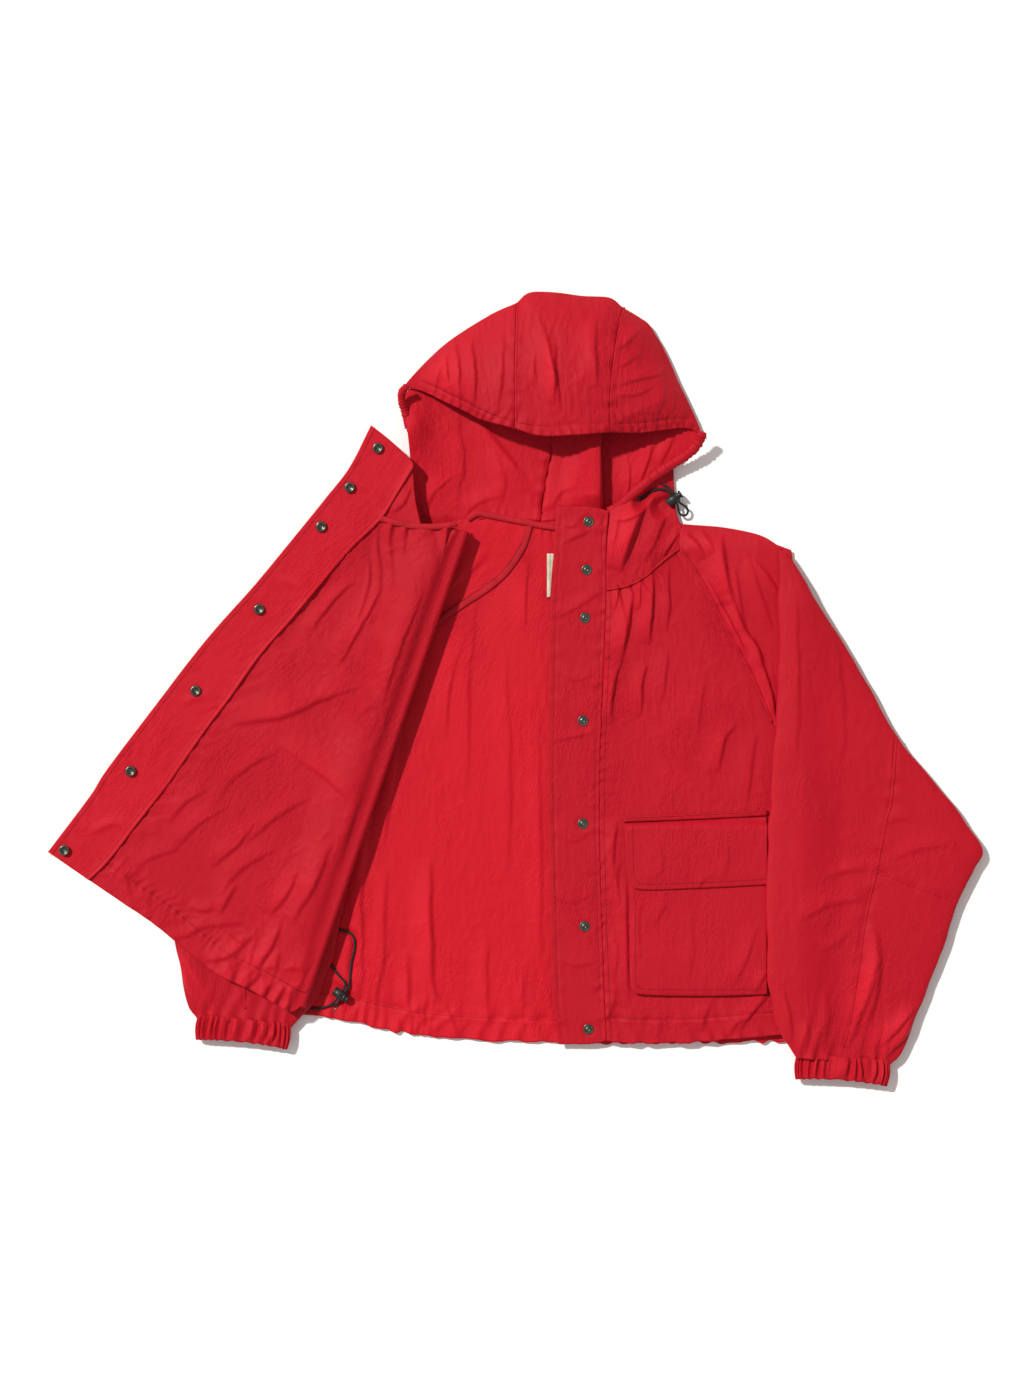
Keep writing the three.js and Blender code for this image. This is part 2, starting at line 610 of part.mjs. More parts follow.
// The left hood cord: from its eyelet through the lock, round a short loop, back through the lock to its bar.
const onSide = onFloor + cloth + gap; // what lies on the hood's turned-in side
const hoodLock = placed([172, 206], onSide + lockRadius, 35);
cordLock("hood_left_lock", hoodLock);
const hoodCord = [
  [-0.6, 20.5, -1.9],
  [1.9, 15.5, -0.7],
  [3.05, 10, 0],
  [3.05, 0, 0],
  [3.05, -6, 0],
  [4.6, -11, -1],
  [6.4, -15.5, -2],
  [5.4, -20, -2.4],
  [1.5, -22.2, -2.5],
  [-2.4, -20, -2.4],
  [-3.4, -15.5, -2],
  [-1.6, -11, -1],
  [-0.05, -6, 0],
  [-0.05, 0, 0],
  [-0.05, 5, 0],
  [-0.05, 10, 0],
  [-2.8, 15.5, -0.6],
  [-9, 19, -2],
  [-16.7, 21.4, -3.2],
  [-24, 20.9, -3.7],
  [-29, 20.4, -3.7],
];
add("hood_left_cord", swept(hoodCord, cordRadius, 8, cordSteps(hoodCord)), blackCord, hoodLock);
eyelet("hood_left_eyelet", 159.7, 222.6, onSide);
anchor("hood_left_anchor", 134.4, 205.2, onSide + barRadius);

// The right hood lock lies under the turned-in side, with its cap just past the edge.
cordLock("hood_right_lock", placed([-112, 285], onFloor + lockRadius, 180), false);

// The hem cord: from its eyelet through the lock, round a wide loop that passes under the fold, and back
// through the lock to its bar.
const hemLock = placed([-195.5, -340], onFloor + lockRadius, -34);
cordLock("hem_lock", hemLock);
const hemCord = [
  [2.2, -15, -3],
  [2.9, -10.5, -1],
  [3.05, -6, 0],
  [3.05, 0, 0],
  [3.05, 10, 0],
  [1.9, 15, -0.8],
  [-3.5, 25, -3.2],
  [-9.7, 37, -3.9],
  [-14.6, 50, -3.9],
  [-21.6, 59.5, -3.9],
  [-31.5, 61.6, -3.9],
  [-42, 57, -3.9],
  [-48.2, 48, -3.9],
  [-46.6, 37, -3.9],
  [-38, 28.5, -3.9],
  [-26, 21, -3.9],
  [-14, 16.6, -3.4],
  [-3.6, 14, -1.2],
  [-0.05, 9.6, 0],
  [-0.05, 0, 0],
  [-0.05, -6, 0],
  [-0.8, -11, -0.6],
  [-3.6, -18, -1.9],
  [-9.5, -25.2, -3.2],
  [-16, -29.6, -3.7],
  [-18.8, -31.4, -3.7],
];
add("hem_cord", swept(hemCord, cordRadius, 8, cordSteps(hemCord)), blackCord, hemLock);
eyelet("hem_eyelet", -202.6, -354.8, onFloor);
anchor("hem_anchor", -231.4, -356.4, onFloor + barRadius);

export default jacket;
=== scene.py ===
import json
import logging
import math
from collections.abc import Callable
from dataclasses import dataclass
from enum import Enum
from typing import Protocol

import bpy
import numpy as np
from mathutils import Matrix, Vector


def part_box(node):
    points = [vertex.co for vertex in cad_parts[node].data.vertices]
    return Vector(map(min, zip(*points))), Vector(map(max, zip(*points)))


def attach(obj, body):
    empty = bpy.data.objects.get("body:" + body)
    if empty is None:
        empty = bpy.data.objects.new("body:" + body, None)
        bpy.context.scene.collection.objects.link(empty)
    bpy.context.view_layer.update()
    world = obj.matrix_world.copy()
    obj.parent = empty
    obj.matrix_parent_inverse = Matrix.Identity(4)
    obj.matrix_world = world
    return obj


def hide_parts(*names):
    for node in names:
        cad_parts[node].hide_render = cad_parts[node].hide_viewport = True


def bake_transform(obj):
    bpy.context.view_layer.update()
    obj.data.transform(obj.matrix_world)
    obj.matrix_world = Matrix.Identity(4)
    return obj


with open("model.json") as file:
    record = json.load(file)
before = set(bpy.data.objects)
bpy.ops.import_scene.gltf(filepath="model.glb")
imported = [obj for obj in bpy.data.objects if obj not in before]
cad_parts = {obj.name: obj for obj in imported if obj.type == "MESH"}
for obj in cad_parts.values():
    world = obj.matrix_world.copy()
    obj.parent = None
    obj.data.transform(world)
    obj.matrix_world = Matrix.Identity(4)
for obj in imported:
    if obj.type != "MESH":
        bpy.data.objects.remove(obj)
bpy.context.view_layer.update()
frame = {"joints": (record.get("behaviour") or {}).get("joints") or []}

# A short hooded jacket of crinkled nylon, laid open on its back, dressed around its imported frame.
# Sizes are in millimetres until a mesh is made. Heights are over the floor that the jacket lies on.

MM = 0.001
Points = tuple[tuple[float, ...], ...]
Array = np.ndarray
Height = Callable[[Array, Array], Array]
log = logging.getLogger("jacket")


class Side(Enum):
    """The wearer's side that a piece is on, with its sign along x."""

    LEFT = 1
    RIGHT = -1

    @property
    def word(self) -> str:
        """The side's name as the frame's nodes have it."""
        return self.name.lower()


# ---- Curves, noise and relief ----


def evenly(points: Array, count: int) -> Array:
    """A broken line at places evenly along its length.

    Args:
        points: The line's points, one in each row.
        count: How many places.
    Returns:
        The places, one in each row.
    """
    steps = np.linalg.norm(np.diff(points, axis=0), axis=1)
    length = np.concatenate([[0.0], np.cumsum(steps)])
    at = np.linspace(0, length[-1], count)
    return np.stack([np.interp(at, length, points[:, k]) for k in range(points.shape[1])], 1)


def spline(points: Points, count: int) -> Array:
    """A Catmull-Rom curve through points: each stretch is the cubic whose slopes are half of its neighbours' step.

    Args:
        points: What the curve passes through.
        count: How many places, evenly along the curve.
    Returns:
        The places, one in each row.
    """
    p = np.asarray(points, float)
    if len(p) > 2:
        p = np.vstack([2 * p[0] - p[1], p, 2 * p[-1] - p[-2]])
        a, b, c, d = (p[i : len(p) - 3 + i][:, None, :] for i in range(4))
        t = np.linspace(0, 1, 24, endpoint=False)[None, :, None]
        cubic = 2 * b + (c - a) * t + (2 * a - 5 * b + 4 * c - d) * t**2 + (3 * b - a - 3 * c + d) * t**3
        p = np.vstack([0.5 * cubic.reshape(-1, p.shape[1]), p[-2]])
    return evenly(p, count)


def dice(i: Array, j: Array, seed: float) -> Array:
    """A repeatable number from 0 to 1 at each whole point: the fraction of a large sine."""
    n = np.sin(i * 127.1 + j * 311.7 + seed * 74.7) * 43758.5453
    return n - np.floor(n)


def noise(x: Array, y: Array, seed: float) -> Array:
    """Smooth noise from -1 to 1: numbers at whole points, joined by a quintic ease both ways."""
    i, j = np.floor(x), np.floor(y)
    u, v = x - i, y - j
    u = u**3 * (u * (u * 6 - 15) + 10)
    v = v**3 * (v * (v * 6 - 15) + 10)
    near = dice(i, j, seed) * (1 - u) + dice(i + 1, j, seed) * u
    far = dice(i, j + 1, seed) * (1 - u) + dice(i + 1, j + 1, seed) * u
    return 2 * (near * (1 - v) + far * v) - 1


def ridges(x: Array, y: Array, seed: float) -> Array:
    """Sharp-topped folds from -1 to 1: one minus twice the size of smooth noise."""
    return 1 - 2 * np.abs(noise(x, y, seed))


def ease(x: Array, start: float, end: float) -> Array:
    """A smooth step from 0 at start to 1 at end."""
    t = np.clip((x - start) / (end - start), 0, 1)
    return t * t * (3 - 2 * t)


def beside(line: Array, x: Array, y: Array) -> tuple[Array, Array]:
    """How far points lie from a broken line.

    Args:
        line: The line's points.
        x: The points' x.
        y: The points' y.
    Returns:
        The distance from the line, positive on its left, and the share of its length at the nearest place.
    """
    steps = np.linalg.norm(np.diff(line, axis=0), axis=1)
    starts = np.concatenate([[0.0], np.cumsum(steps)])
    best = np.full(x.shape, np.inf)
    side, share = np.zeros(x.shape), np.zeros(x.shape)
    for a, b, start, step in zip(line[:-1], line[1:], starts, steps):
        d = (b - a) / step
        along = np.clip((x - a[0]) * d[0] + (y - a[1]) * d[1], 0, step)
        away = np.hypot(x - a[0] - along * d[0], y - a[1] - along * d[1])
        turn = d[0] * (y - a[1]) - d[1] * (x - a[0])
        near = away < best
        best = np.where(near, away, best)
        side = np.where(near, np.where(turn < 0, -away, away), side)
        share = np.where(near, (start + along) / starts[-1], share)
    return side, share


def shifted(line: Points, x: float, y: float) -> Points:
    """A line moved as a whole."""
    return tuple((px + x, py + y) for px, py in line)


class Feature(Protocol):
    """Anything that raises or lowers the cloth over a plan."""

    def lift(self, x: Array, y: Array) -> Array:
        """Height that it adds at each point."""


FALL = np.array([0.78, -0.62])  # the way that the cloth has slid, and the shadows fall


@dataclass(frozen=True)
class Crease:
    """A fold along a line: a bell across it, wide on one side and steep on the other, tapered to both ends.

    The steep side is the one that the cloth has slid towards, down and to the right.
    """

    line: Points
    height: float
    width: float
    lean: float = 0.84
    wander: float = 0.16

    def lift(self, x: Array, y: Array) -> Array:
        """Height times exp(-(distance / (0.8 width))^2) times a sine taper along the line."""
        path = spline(self.line, 14)
        head = path[-1] - path[0]
        if head[1] * FALL[0] - head[0] * FALL[1] < 0:
            path = path[::-1]
        side, share = beside(path, x, y)
        wide = 0.8 * self.width
        side = side + self.wander * wide * (
            noise(x / 22, y / 22, self.width + self.height) + 0.3 * noise(x / 7, y / 7, self.height))
        width = wide * (1 + self.lean * np.tanh(2 * side / wide))
        return self.height * np.exp(-((side / width) ** 2)) * np.sin(np.pi * share) ** 0.7


def creases(*rows: tuple) -> tuple[Crease, ...]:
    """Creases from rows of the line's points, then the height and the width, and the lean and wander if their own."""
    return tuple(Crease(tuple(c for c in row if isinstance(c, tuple)), *(c for c in row if not isinstance(c, tuple)))
        for row in rows)


@dataclass(frozen=True)
class Gather:
    """Small folds that run away from a sewn line, deep at the line and gone past their reach."""

    line: Points
    height: float = 1.2
    pitch: float = 7.0
    reach: float = 26.0
    side: int = 0
    seed: float = 3.0

    def lift(self, x: Array, y: Array) -> Array:
        """Height times a leaning wave along the line times exp(-distance / reach), each fold with its own reach."""
        path = spline(self.line, 24)
        length = np.linalg.norm(np.diff(path, axis=0), axis=1).sum()
        side, share = beside(path, x, y)
        s = share * length / self.pitch
        s = s + 0.9 * noise(s / 2.3, side / (1.6 * self.reach), self.seed)
        f = s - np.floor(s)
        if (path[-1] - path[0]) @ FALL < 0:
            f = 1 - f
        wave = ease(f, 0, 0.66) * (1 - ease(f, 0.7, 1)) - 0.3
        own = self.reach * (0.75 + 0.6 * noise(s / 1.3, np.zeros_like(s), self.seed + 1))
        there = 1.0 if self.side == 0 else (self.side * side > -1.5)
        ends = np.clip(np.minimum(share, 1 - share) * 14, 0, 1)
        return self.height * wave * np.exp(-np.abs(side) / own) * there * ends


@dataclass(frozen=True)
class Seam:
    """A sewn line: a narrow dip beside a low welt, with short puckers across it."""

    line: Points
    depth: float = 0.8
    width: float = 1.7
    welt: float = 0.5
    pucker: float = 0.4
    pitch: float = 8.0

    def lift(self, x: Array, y: Array) -> Array:
        """Minus a narrow bell, plus a bell to its right, plus a fading wave along the line."""
        path = spline(self.line, 30)
        length = np.linalg.norm(np.diff(path, axis=0), axis=1).sum()
        side, share = beside(path, x, y)
        inner = ease(np.minimum(share, 1 - share), 0, 0.02)
        dip = -self.depth * np.exp(-((side / self.width) ** 2))
        welt = self.welt * np.exp(-(((side + 3.4) / 2.4) ** 2))
        s = share * length / self.pitch
        wave = noise(s, side / 30, self.depth + self.pitch) * np.exp(-np.abs(side) / 7)
        return inner * (dip + welt + 2 * self.pucker * wave)


@dataclass(frozen=True)
class Crinkle:
    """The crushed look of washed nylon all over: long narrow ridges along the grain, in three sizes."""

    height: float = 0.9
    grain: float = 90.0
    length: float = 30.0
    width: float = 9.0
    seed: float = 1.0
    swell: float = 1.4

    def lift(self, x: Array, y: Array) -> Array:
        """Ridges of warped noise stretched along the grain, more in some patches, on a slow swell."""
        a = math.radians(self.grain)
        along = x * math.cos(a) + y * math.sin(a) + 9 * noise(x / 27, y / 27, self.seed + 5)
        across = y * math.cos(a) - x * math.sin(a) + 5 * noise(x / 21, y / 24, self.seed + 6)
        long, wide = self.length, self.width
        slow = noise(along / (3.6 * long), across / (5 * wide), self.seed)
        middle = ridges(along / (0.9 * long), across / wide, self.seed + 2) ** 3
        fine = ridges(along / (0.4 * long), across / (0.5 * wide), self.seed + 3)
        patch = ease(noise(x / 42, y / 55, self.seed + 4), -0.25, 0.55)
        flat = ease(noise(x / 60, y / 70, self.seed + 7), -0.4, 0.4)
        crushed = (0.25 + 0.75 * flat) * 0.7 * middle + (0.15 + 0.85 * patch) * 0.42 * fine
        return self.swell * slow + self.height * crushed


def relief(features: tuple[Feature, ...], x: Array, y: Array) -> Array:
    """The sum of all features' heights."""
    return sum((f.lift(x, y) for f in features), np.zeros(x.shape))


@dataclass(frozen=True)
class Room:
    """Space that the cloth leaves under something laid on it: no higher than its underside, and up again beside it."""

    line: Array
    under: Array
    reach: float
    slope: float = 0.7

    def cap(self, x: Array, y: Array) -> Array:
        """The highest that the cloth may be: the underside's height plus the slope times the distance past reach."""
        side, share = beside(self.line, x, y)
        at = np.interp(share, np.linspace(0, 1, len(self.under)), self.under)
        return at + self.slope * np.maximum(np.abs(side) - self.reach, 0)


# ---- Meshes ----


def coons(low: Points, right: Points, high: Points, left: Points, pitch: float) -> Array:
    """A plan between four edges: the two ruled surfaces between facing edges, less the one between corners.

    Args:
        low: Edge from the left to the right.
        right: Edge upwards.
        high: Edge from the left to the right.
        left: Edge upwards.
        pitch: About how far apart the grid's lines lie.
    Returns:
        The grid of plan points, left to right and then upwards.
    """
    wide = max(spline_length(low), spline_length(high))
    tall = max(spline_length(left), spline_length(right))
    nu, nv = 2 * max(4, round(wide / pitch / 2)) + 1, 2 * max(4, round(tall / pitch / 2)) + 1
    lo, hi, le, ri = spline(low, nu), spline(high, nu), spline(left, nv), spline(right, nv)
    u, v = np.linspace(0, 1, nu)[:, None, None], np.linspace(0, 1, nv)[None, :, None]
    ruled = (1 - v) * lo[:, None] + v * hi[:, None] + (1 - u) * le[None] + u * ri[None]
    corners = (1 - v) * ((1 - u) * lo[0] + u * lo[-1]) + v * ((1 - u) * hi[0] + u * hi[-1])
    return ruled - corners


def spline_length(points: Points) -> float:
    """Length of the curve through points."""
    return float(np.linalg.norm(np.diff(spline(points, 60), axis=0), axis=1).sum())


def normals_of(grid: Array, around: bool) -> Array:
    """Unit normals of a grid: the cross product of its slopes along its two parameters."""
    if around:
        du = np.roll(grid, -1, 0) - np.roll(grid, 1, 0)
    else:
        du = np.gradient(grid, axis=0)
    cross = np.cross(du, np.gradient(grid, axis=1))
    size = np.linalg.norm(cross, axis=-1, keepdims=True)
    return cross / np.maximum(size, 1e-9)


def arcs(grid: Array) -> Array:
    """The cloth's own measure at each grid point, in metres: the mean run along each parameter."""
    u = np.linalg.norm(np.diff(grid, axis=0), axis=-1).mean(1)
    v = np.linalg.norm(np.diff(grid, axis=1), axis=-1).mean(0)
    along_u = np.concatenate([[0], np.cumsum(u)])[:, None]
    along_v = np.concatenate([[0], np.cumsum(v)])[None, :]
    return np.stack(np.broadcast_arrays(along_u, along_v), -1) * MM


def area_of(grid: Array) -> float:
    """Area of a grid's surface in square metres: half the cross product of each cell's diagonals."""
    one = grid[1:, 1:] - grid[:-1, :-1]
    two = grid[:-1, 1:] - grid[1:, :-1]
    return float(np.linalg.norm(np.cross(one, two), axis=-1).sum() / 2) * MM * MM


@dataclass
class Mesh:
    """Vertices in millimetres and faces, with a measure of the cloth and its relief at each vertex."""

    points: Array
    faces: Array
    cloth: Array
    bumps: Array

    def make(self, name: str, finish: "Finish", slot: str) -> bpy.types.Object:
        """Put it into the scene.

        Args:
            name: The piece's name.
            finish: What it is made of.
            slot: The record's material slot that it takes; not used.
        Returns:
            The new object, at the origin.
        """
        data = bpy.data.meshes.new(name)
        data.from_pydata((self.points * MM).tolist(), [], self.faces.tolist())
        data.validate()
        corners = np.empty(len(data.loops), np.int32)
        data.loops.foreach_get("vertex_index", corners)
        layer = data.uv_layers.new(name="cloth")
        layer.data.foreach_set("uv", self.cloth[corners].astype(np.float32).ravel())
        # The relief attribute also sets the cloth's colour in its shader: painted light on high cloth and painted
        # shade in low cloth, with wear on ridges.
        wear_and_light = data.attributes.new("relief", "FLOAT", "POINT")
        wear_and_light.data.foreach_set("value", self.bumps.astype(np.float32))
        data.polygons.foreach_set("use_smooth", np.ones(len(data.polygons), bool))
        data.materials.append(finish.material())
        thing = bpy.data.objects.new(name, data)
        bpy.context.scene.collection.objects.link(thing)
        return thing

    def moved(self, place: "Place") -> "Mesh":
        """The same mesh at a place."""
        return Mesh(place.of(self.points), self.faces, self.cloth, self.bumps)


def cells(index: Array) -> Array:
    """The four corners of each cell of a grid of vertex numbers."""
    quads = np.stack([index[:-1, :-1], index[1:, :-1], index[1:, 1:], index[:-1, 1:]], -1)
    return quads.reshape(-1, 4)


def wall(grid: Array, bumps: Array, thickness: float, around: bool = False) -> Mesh:
    """A thin closed wall: the grid, a second face one thickness behind it, and the rims between them.

    Args:
        grid: The face's points, whose normals point outwards.
        bumps: The cloth's relief at each of them.
        thickness: The wall's thickness.
        around: True when the first parameter runs all the way round.
    Returns:
        The wall.
    """
    nu, nv = grid.shape[:2]
    back = grid - thickness * normals_of(grid, around)
    index = np.arange(nu * nv).reshape(nu, nv)
    if around:
        index = np.vstack([index, index[:1]])
    behind = index + nu * nv
    faces = [cells(index), cells(behind)[:, ::-1]]
    rims = [(index[::-1, 0], behind[::-1, 0]), (index[:, -1], behind[:, -1])]
    if not around:
        rims += [(index[0], behind[0]), (index[-1, ::-1], behind[-1, ::-1])]
    for edge, under in rims:
        faces.append(np.stack([edge[:-1], edge[1:], under[1:], under[:-1]], -1))
    points = np.concatenate([grid.reshape(-1, 3), back.reshape(-1, 3)])
    cloth = np.tile(arcs(grid).reshape(-1, 2), (2, 1))
    return Mesh(points, np.concatenate(faces), cloth, np.tile(bumps.ravel(), 2))


def spread(grid: Array, bumps: Array, thickness: float) -> Mesh:
    """A thin closed wall under a laid surface: its underside has half as many rows and columns, and is smoother.

    The underside is the lowest of the surface's neighbouring heights less the thickness, and each rim joins three
    points above to two below.

    Args:
        grid: The surface's points, an odd number each way.
        bumps: The cloth's relief at each of them.
        thickness: The wall's thickness.
    Returns:
        The wall.
    """
    nu, nv = grid.shape[:2]
    z = np.pad(grid[..., 2], 2, mode="edge")
    lows = [z[i : i + nu, j : j + nv] for i in range(5) for j in range(5)]
    below = np.concatenate([grid[..., :2], (np.min(lows, axis=0) - thickness)[..., None]], -1)[::2, ::2]
    index = np.arange(nu * nv).reshape(nu, nv)
    under = nu * nv + np.arange(below.shape[0] * below.shape[1]).reshape(below.shape[:2])
    faces = Rows(cells(index).tolist() + cells(under)[:, ::-1].tolist())
    for edge, low in ((index[::-1, 0], under[::-1, 0]), (index[:, -1], under[:, -1]), (index[0], under[0]),
        (index[-1, ::-1], under[-1, ::-1])):
        faces += np.stack([edge[:-2:2], edge[1:-1:2], edge[2::2], low[1:], low[:-1]], -1).tolist()
    points = np.concatenate([grid.reshape(-1, 3), below.reshape(-1, 3)])
    measure = arcs(grid)
    cloth = np.concatenate([measure.reshape(-1, 2), measure[::2, ::2].reshape(-1, 2)])
    return Mesh(points, faces, cloth, np.concatenate([bumps.ravel(), bumps[::2, ::2].ravel()]))


def resting(grid: Array) -> Height:
    """The height of a laid surface at any plan point: the mean of its four nearest points', nearer ones more."""
    flat = grid.reshape(-1, 3)

    def height(x: Array, y: Array) -> Array:
        """Weights are one over the squared distance."""
        x, y = np.atleast_1d(x), np.atleast_1d(y)
        away = (flat[None, :, 0] - x.ravel()[:, None]) ** 2 + (flat[None, :, 1] - y.ravel()[:, None]) ** 2
        near = np.argpartition(away, 4, axis=1)[:, :4]
        weight = 1 / (np.take_along_axis(away, near, 1) + 0.05)
        return ((flat[near, 2] * weight).sum(1) / weight.sum(1)).reshape(x.shape)

    return height


def rope(path: Array, across: Array | float, upright: Array | float, sides: int = 12) -> Mesh:
    """An oval section carried along a path, with both ends closed.

    Each ring is the path's point plus cos times half the width sideways plus sin times half the height upwards.

    Args:
        path: The section's middle, one point in each row.
        across: Half the section's width, level.
        upright: Half its height.
        sides: Corners of the section.
    Returns:
        The closed tube.
    """
    tangent = np.gradient(path, axis=0)
    tangent /= np.linalg.norm(tangent, axis=1, keepdims=True)
    level = np.cross(np.array([0.0, 0.0, 1.0]), tangent)
    level /= np.maximum(np.linalg.norm(level, axis=1, keepdims=True), 1e-9)
    up = np.cross(tangent, level)
    a = np.linspace(0, 2 * np.pi, sides, endpoint=False)[:, None, None]
    wide = np.broadcast_to(across, (len(path),))[None, :, None]
    high = np.broadcast_to(upright, (len(path),))[None, :, None]
    grid = path[None] - np.cos(a) * wide * level[None] + np.sin(a) * high * up[None]
    return capped(grid)


def capped(grid: Array) -> Mesh:
    """A tube round a grid whose first parameter runs round, with a fan of triangles at each end."""
    nu, nv = grid.shape[:2]
    index = np.arange(nu * nv).reshape(nu, nv)
    ring = np.vstack([index, index[:1]])
    faces = cells(ring).tolist()
    low, high = nu * nv, nu * nv + 1
    faces += [[low, b, a] for a, b in zip(ring[:-1, 0], ring[1:, 0])]
    faces += [[high, a, b] for a, b in zip(ring[:-1, -1], ring[1:, -1])]
    points = np.concatenate([grid.reshape(-1, 3), grid[:, :1].mean(0), grid[:, -1:].mean(0)])
    measure = arcs(grid).reshape(-1, 2)
    cloth = np.concatenate([measure, measure[:1], measure[-1:]])
    return Mesh(points, Rows(faces), cloth, np.zeros(len(points)))


class Rows(list):
    """Faces of unlike lengths, with the one method of an array that a mesh asks of them."""

    def tolist(self) -> list:
        """The faces as they are."""
        return [list(map(int, face)) for face in self]


def lathe(profile: Points, sides: int = 48, smooth: int = 0, flute: Callable[[Array, Array],
        Array] | None = None) -> Mesh:
    """A profile of (radius, height) turned about the z axis.

    Args:
        profile: From the axis at one end to the axis at the other, with the outside on its right hand.
        sides: Corners round the axis.
        smooth: Places along a curve through the profile, or 0 to keep its own corners.
        flute: Factor on the radius by angle and height.
    Returns:
        The closed solid.
    """
    p = spline(profile, smooth) if smooth else np.asarray(profile, float)
    inner = p[1:-1]
    a = np.linspace(0, 2 * np.pi, sides, endpoint=False)[:, None]
    r, z = inner[None, :, 0] * np.ones_like(a), inner[None, :, 1] * np.ones_like(a)
    if flute is not None:
        r = r * flute(a, z)
    grid = np.stack([r * np.cos(a), r * np.sin(a), z], -1)
    made = capped(grid)
    made.points[-2] = (0, 0, p[0, 1])
    made.points[-1] = (0, 0, p[-1, 1])
    return made


@dataclass(frozen=True)
class Place:
    """Where a piece made about the origin goes: a turn about the upright, then a shift."""

    x: float
    y: float
    z: float
    turn: float = 0.0

    def of(self, points: Array) -> Array:
        """The points turned and shifted."""
        a = math.radians(self.turn)
        c, s = math.cos(a), math.sin(a)
        x, y, z = points[..., 0], points[..., 1], points[..., 2]
        return np.stack([self.x + x * c - y * s, self.y + x * s + y * c, self.z + z], -1)


def carved(name: str, outer: Mesh, cutter: Mesh, finish: "Finish", slot: str) -> bpy.types.Object:
    """A solid less another, by a boolean that is applied."""
    thing = outer.make(name, finish, slot)
    tool = cutter.make(name + "_cutter", finish, slot)
    cut = thing.modifiers.new("slot", "BOOLEAN")
    cut.object = tool
    cut.solver = "EXACT"
    graph = bpy.context.evaluated_depsgraph_get()
    thing.data = bpy.data.meshes.new_from_object(thing.evaluated_get(graph))
    thing.modifiers.clear()
    bpy.data.objects.remove(tool)
    return thing


def join(meshes: list[Mesh]) -> Mesh:
    """Several meshes as one."""
    faces, count = Rows(), 0
    for m in meshes:
        faces += [[i + count for i in face] for face in m.faces.tolist()]
        count += len(m.points)
    points = np.concatenate([m.points for m in meshes])
    cloth = np.concatenate([m.cloth for m in meshes])
    return Mesh(points, faces, cloth, np.concatenate([m.bumps for m in meshes]))


# ---- Shaders ----


class Wire:
    """A number on its way through a shader: Python's operators add its Math nodes."""

    def __init__(self, shader: "Shader", socket: bpy.types.NodeSocket) -> None:
        """Hold a socket of a shader's tree."""
        self.shader = shader
        self.socket = socket

    def _maths(self, operation: str, a: "Wire | float", b: "Wire | float" = 0.0) -> "Wire":
        """One Math node on two values."""
        made = self.shader.node("ShaderNodeMath", {"operation": operation}, {0: a, 1: b})
        return Wire(self.shader, made.outputs[0])

    def __add__(self, other: "Wire | float") -> "Wire":
        """The sum."""
        return self._maths("ADD", self, other)

    def __sub__(self, other: "Wire | float") -> "Wire":
        """The difference."""
        return self._maths("SUBTRACT", self, other)

    def __rsub__(self, other: float) -> "Wire":
        """A number less this."""
        return self._maths("SUBTRACT", other, self)

    def __mul__(self, other: "Wire | float") -> "Wire":
        """The product."""
        return self._maths("MULTIPLY", self, other)

    def __pow__(self, other: float) -> "Wire":
        """The power."""
        return self._maths("POWER", self, other)

    __radd__ = __add__
    __rmul__ = __mul__

    def size(self) -> "Wire":
        """Its size without its sign."""
        return self._maths("ABSOLUTE", self)

    def sine(self) -> "Wire":
        """Its sine."""
        return self._maths("SINE", self)

    def clamped(self) -> "Wire":
        """Held between 0 and 1."""
        return self._maths("MINIMUM", self._maths("MAXIMUM", self, 0.0), 1.0)


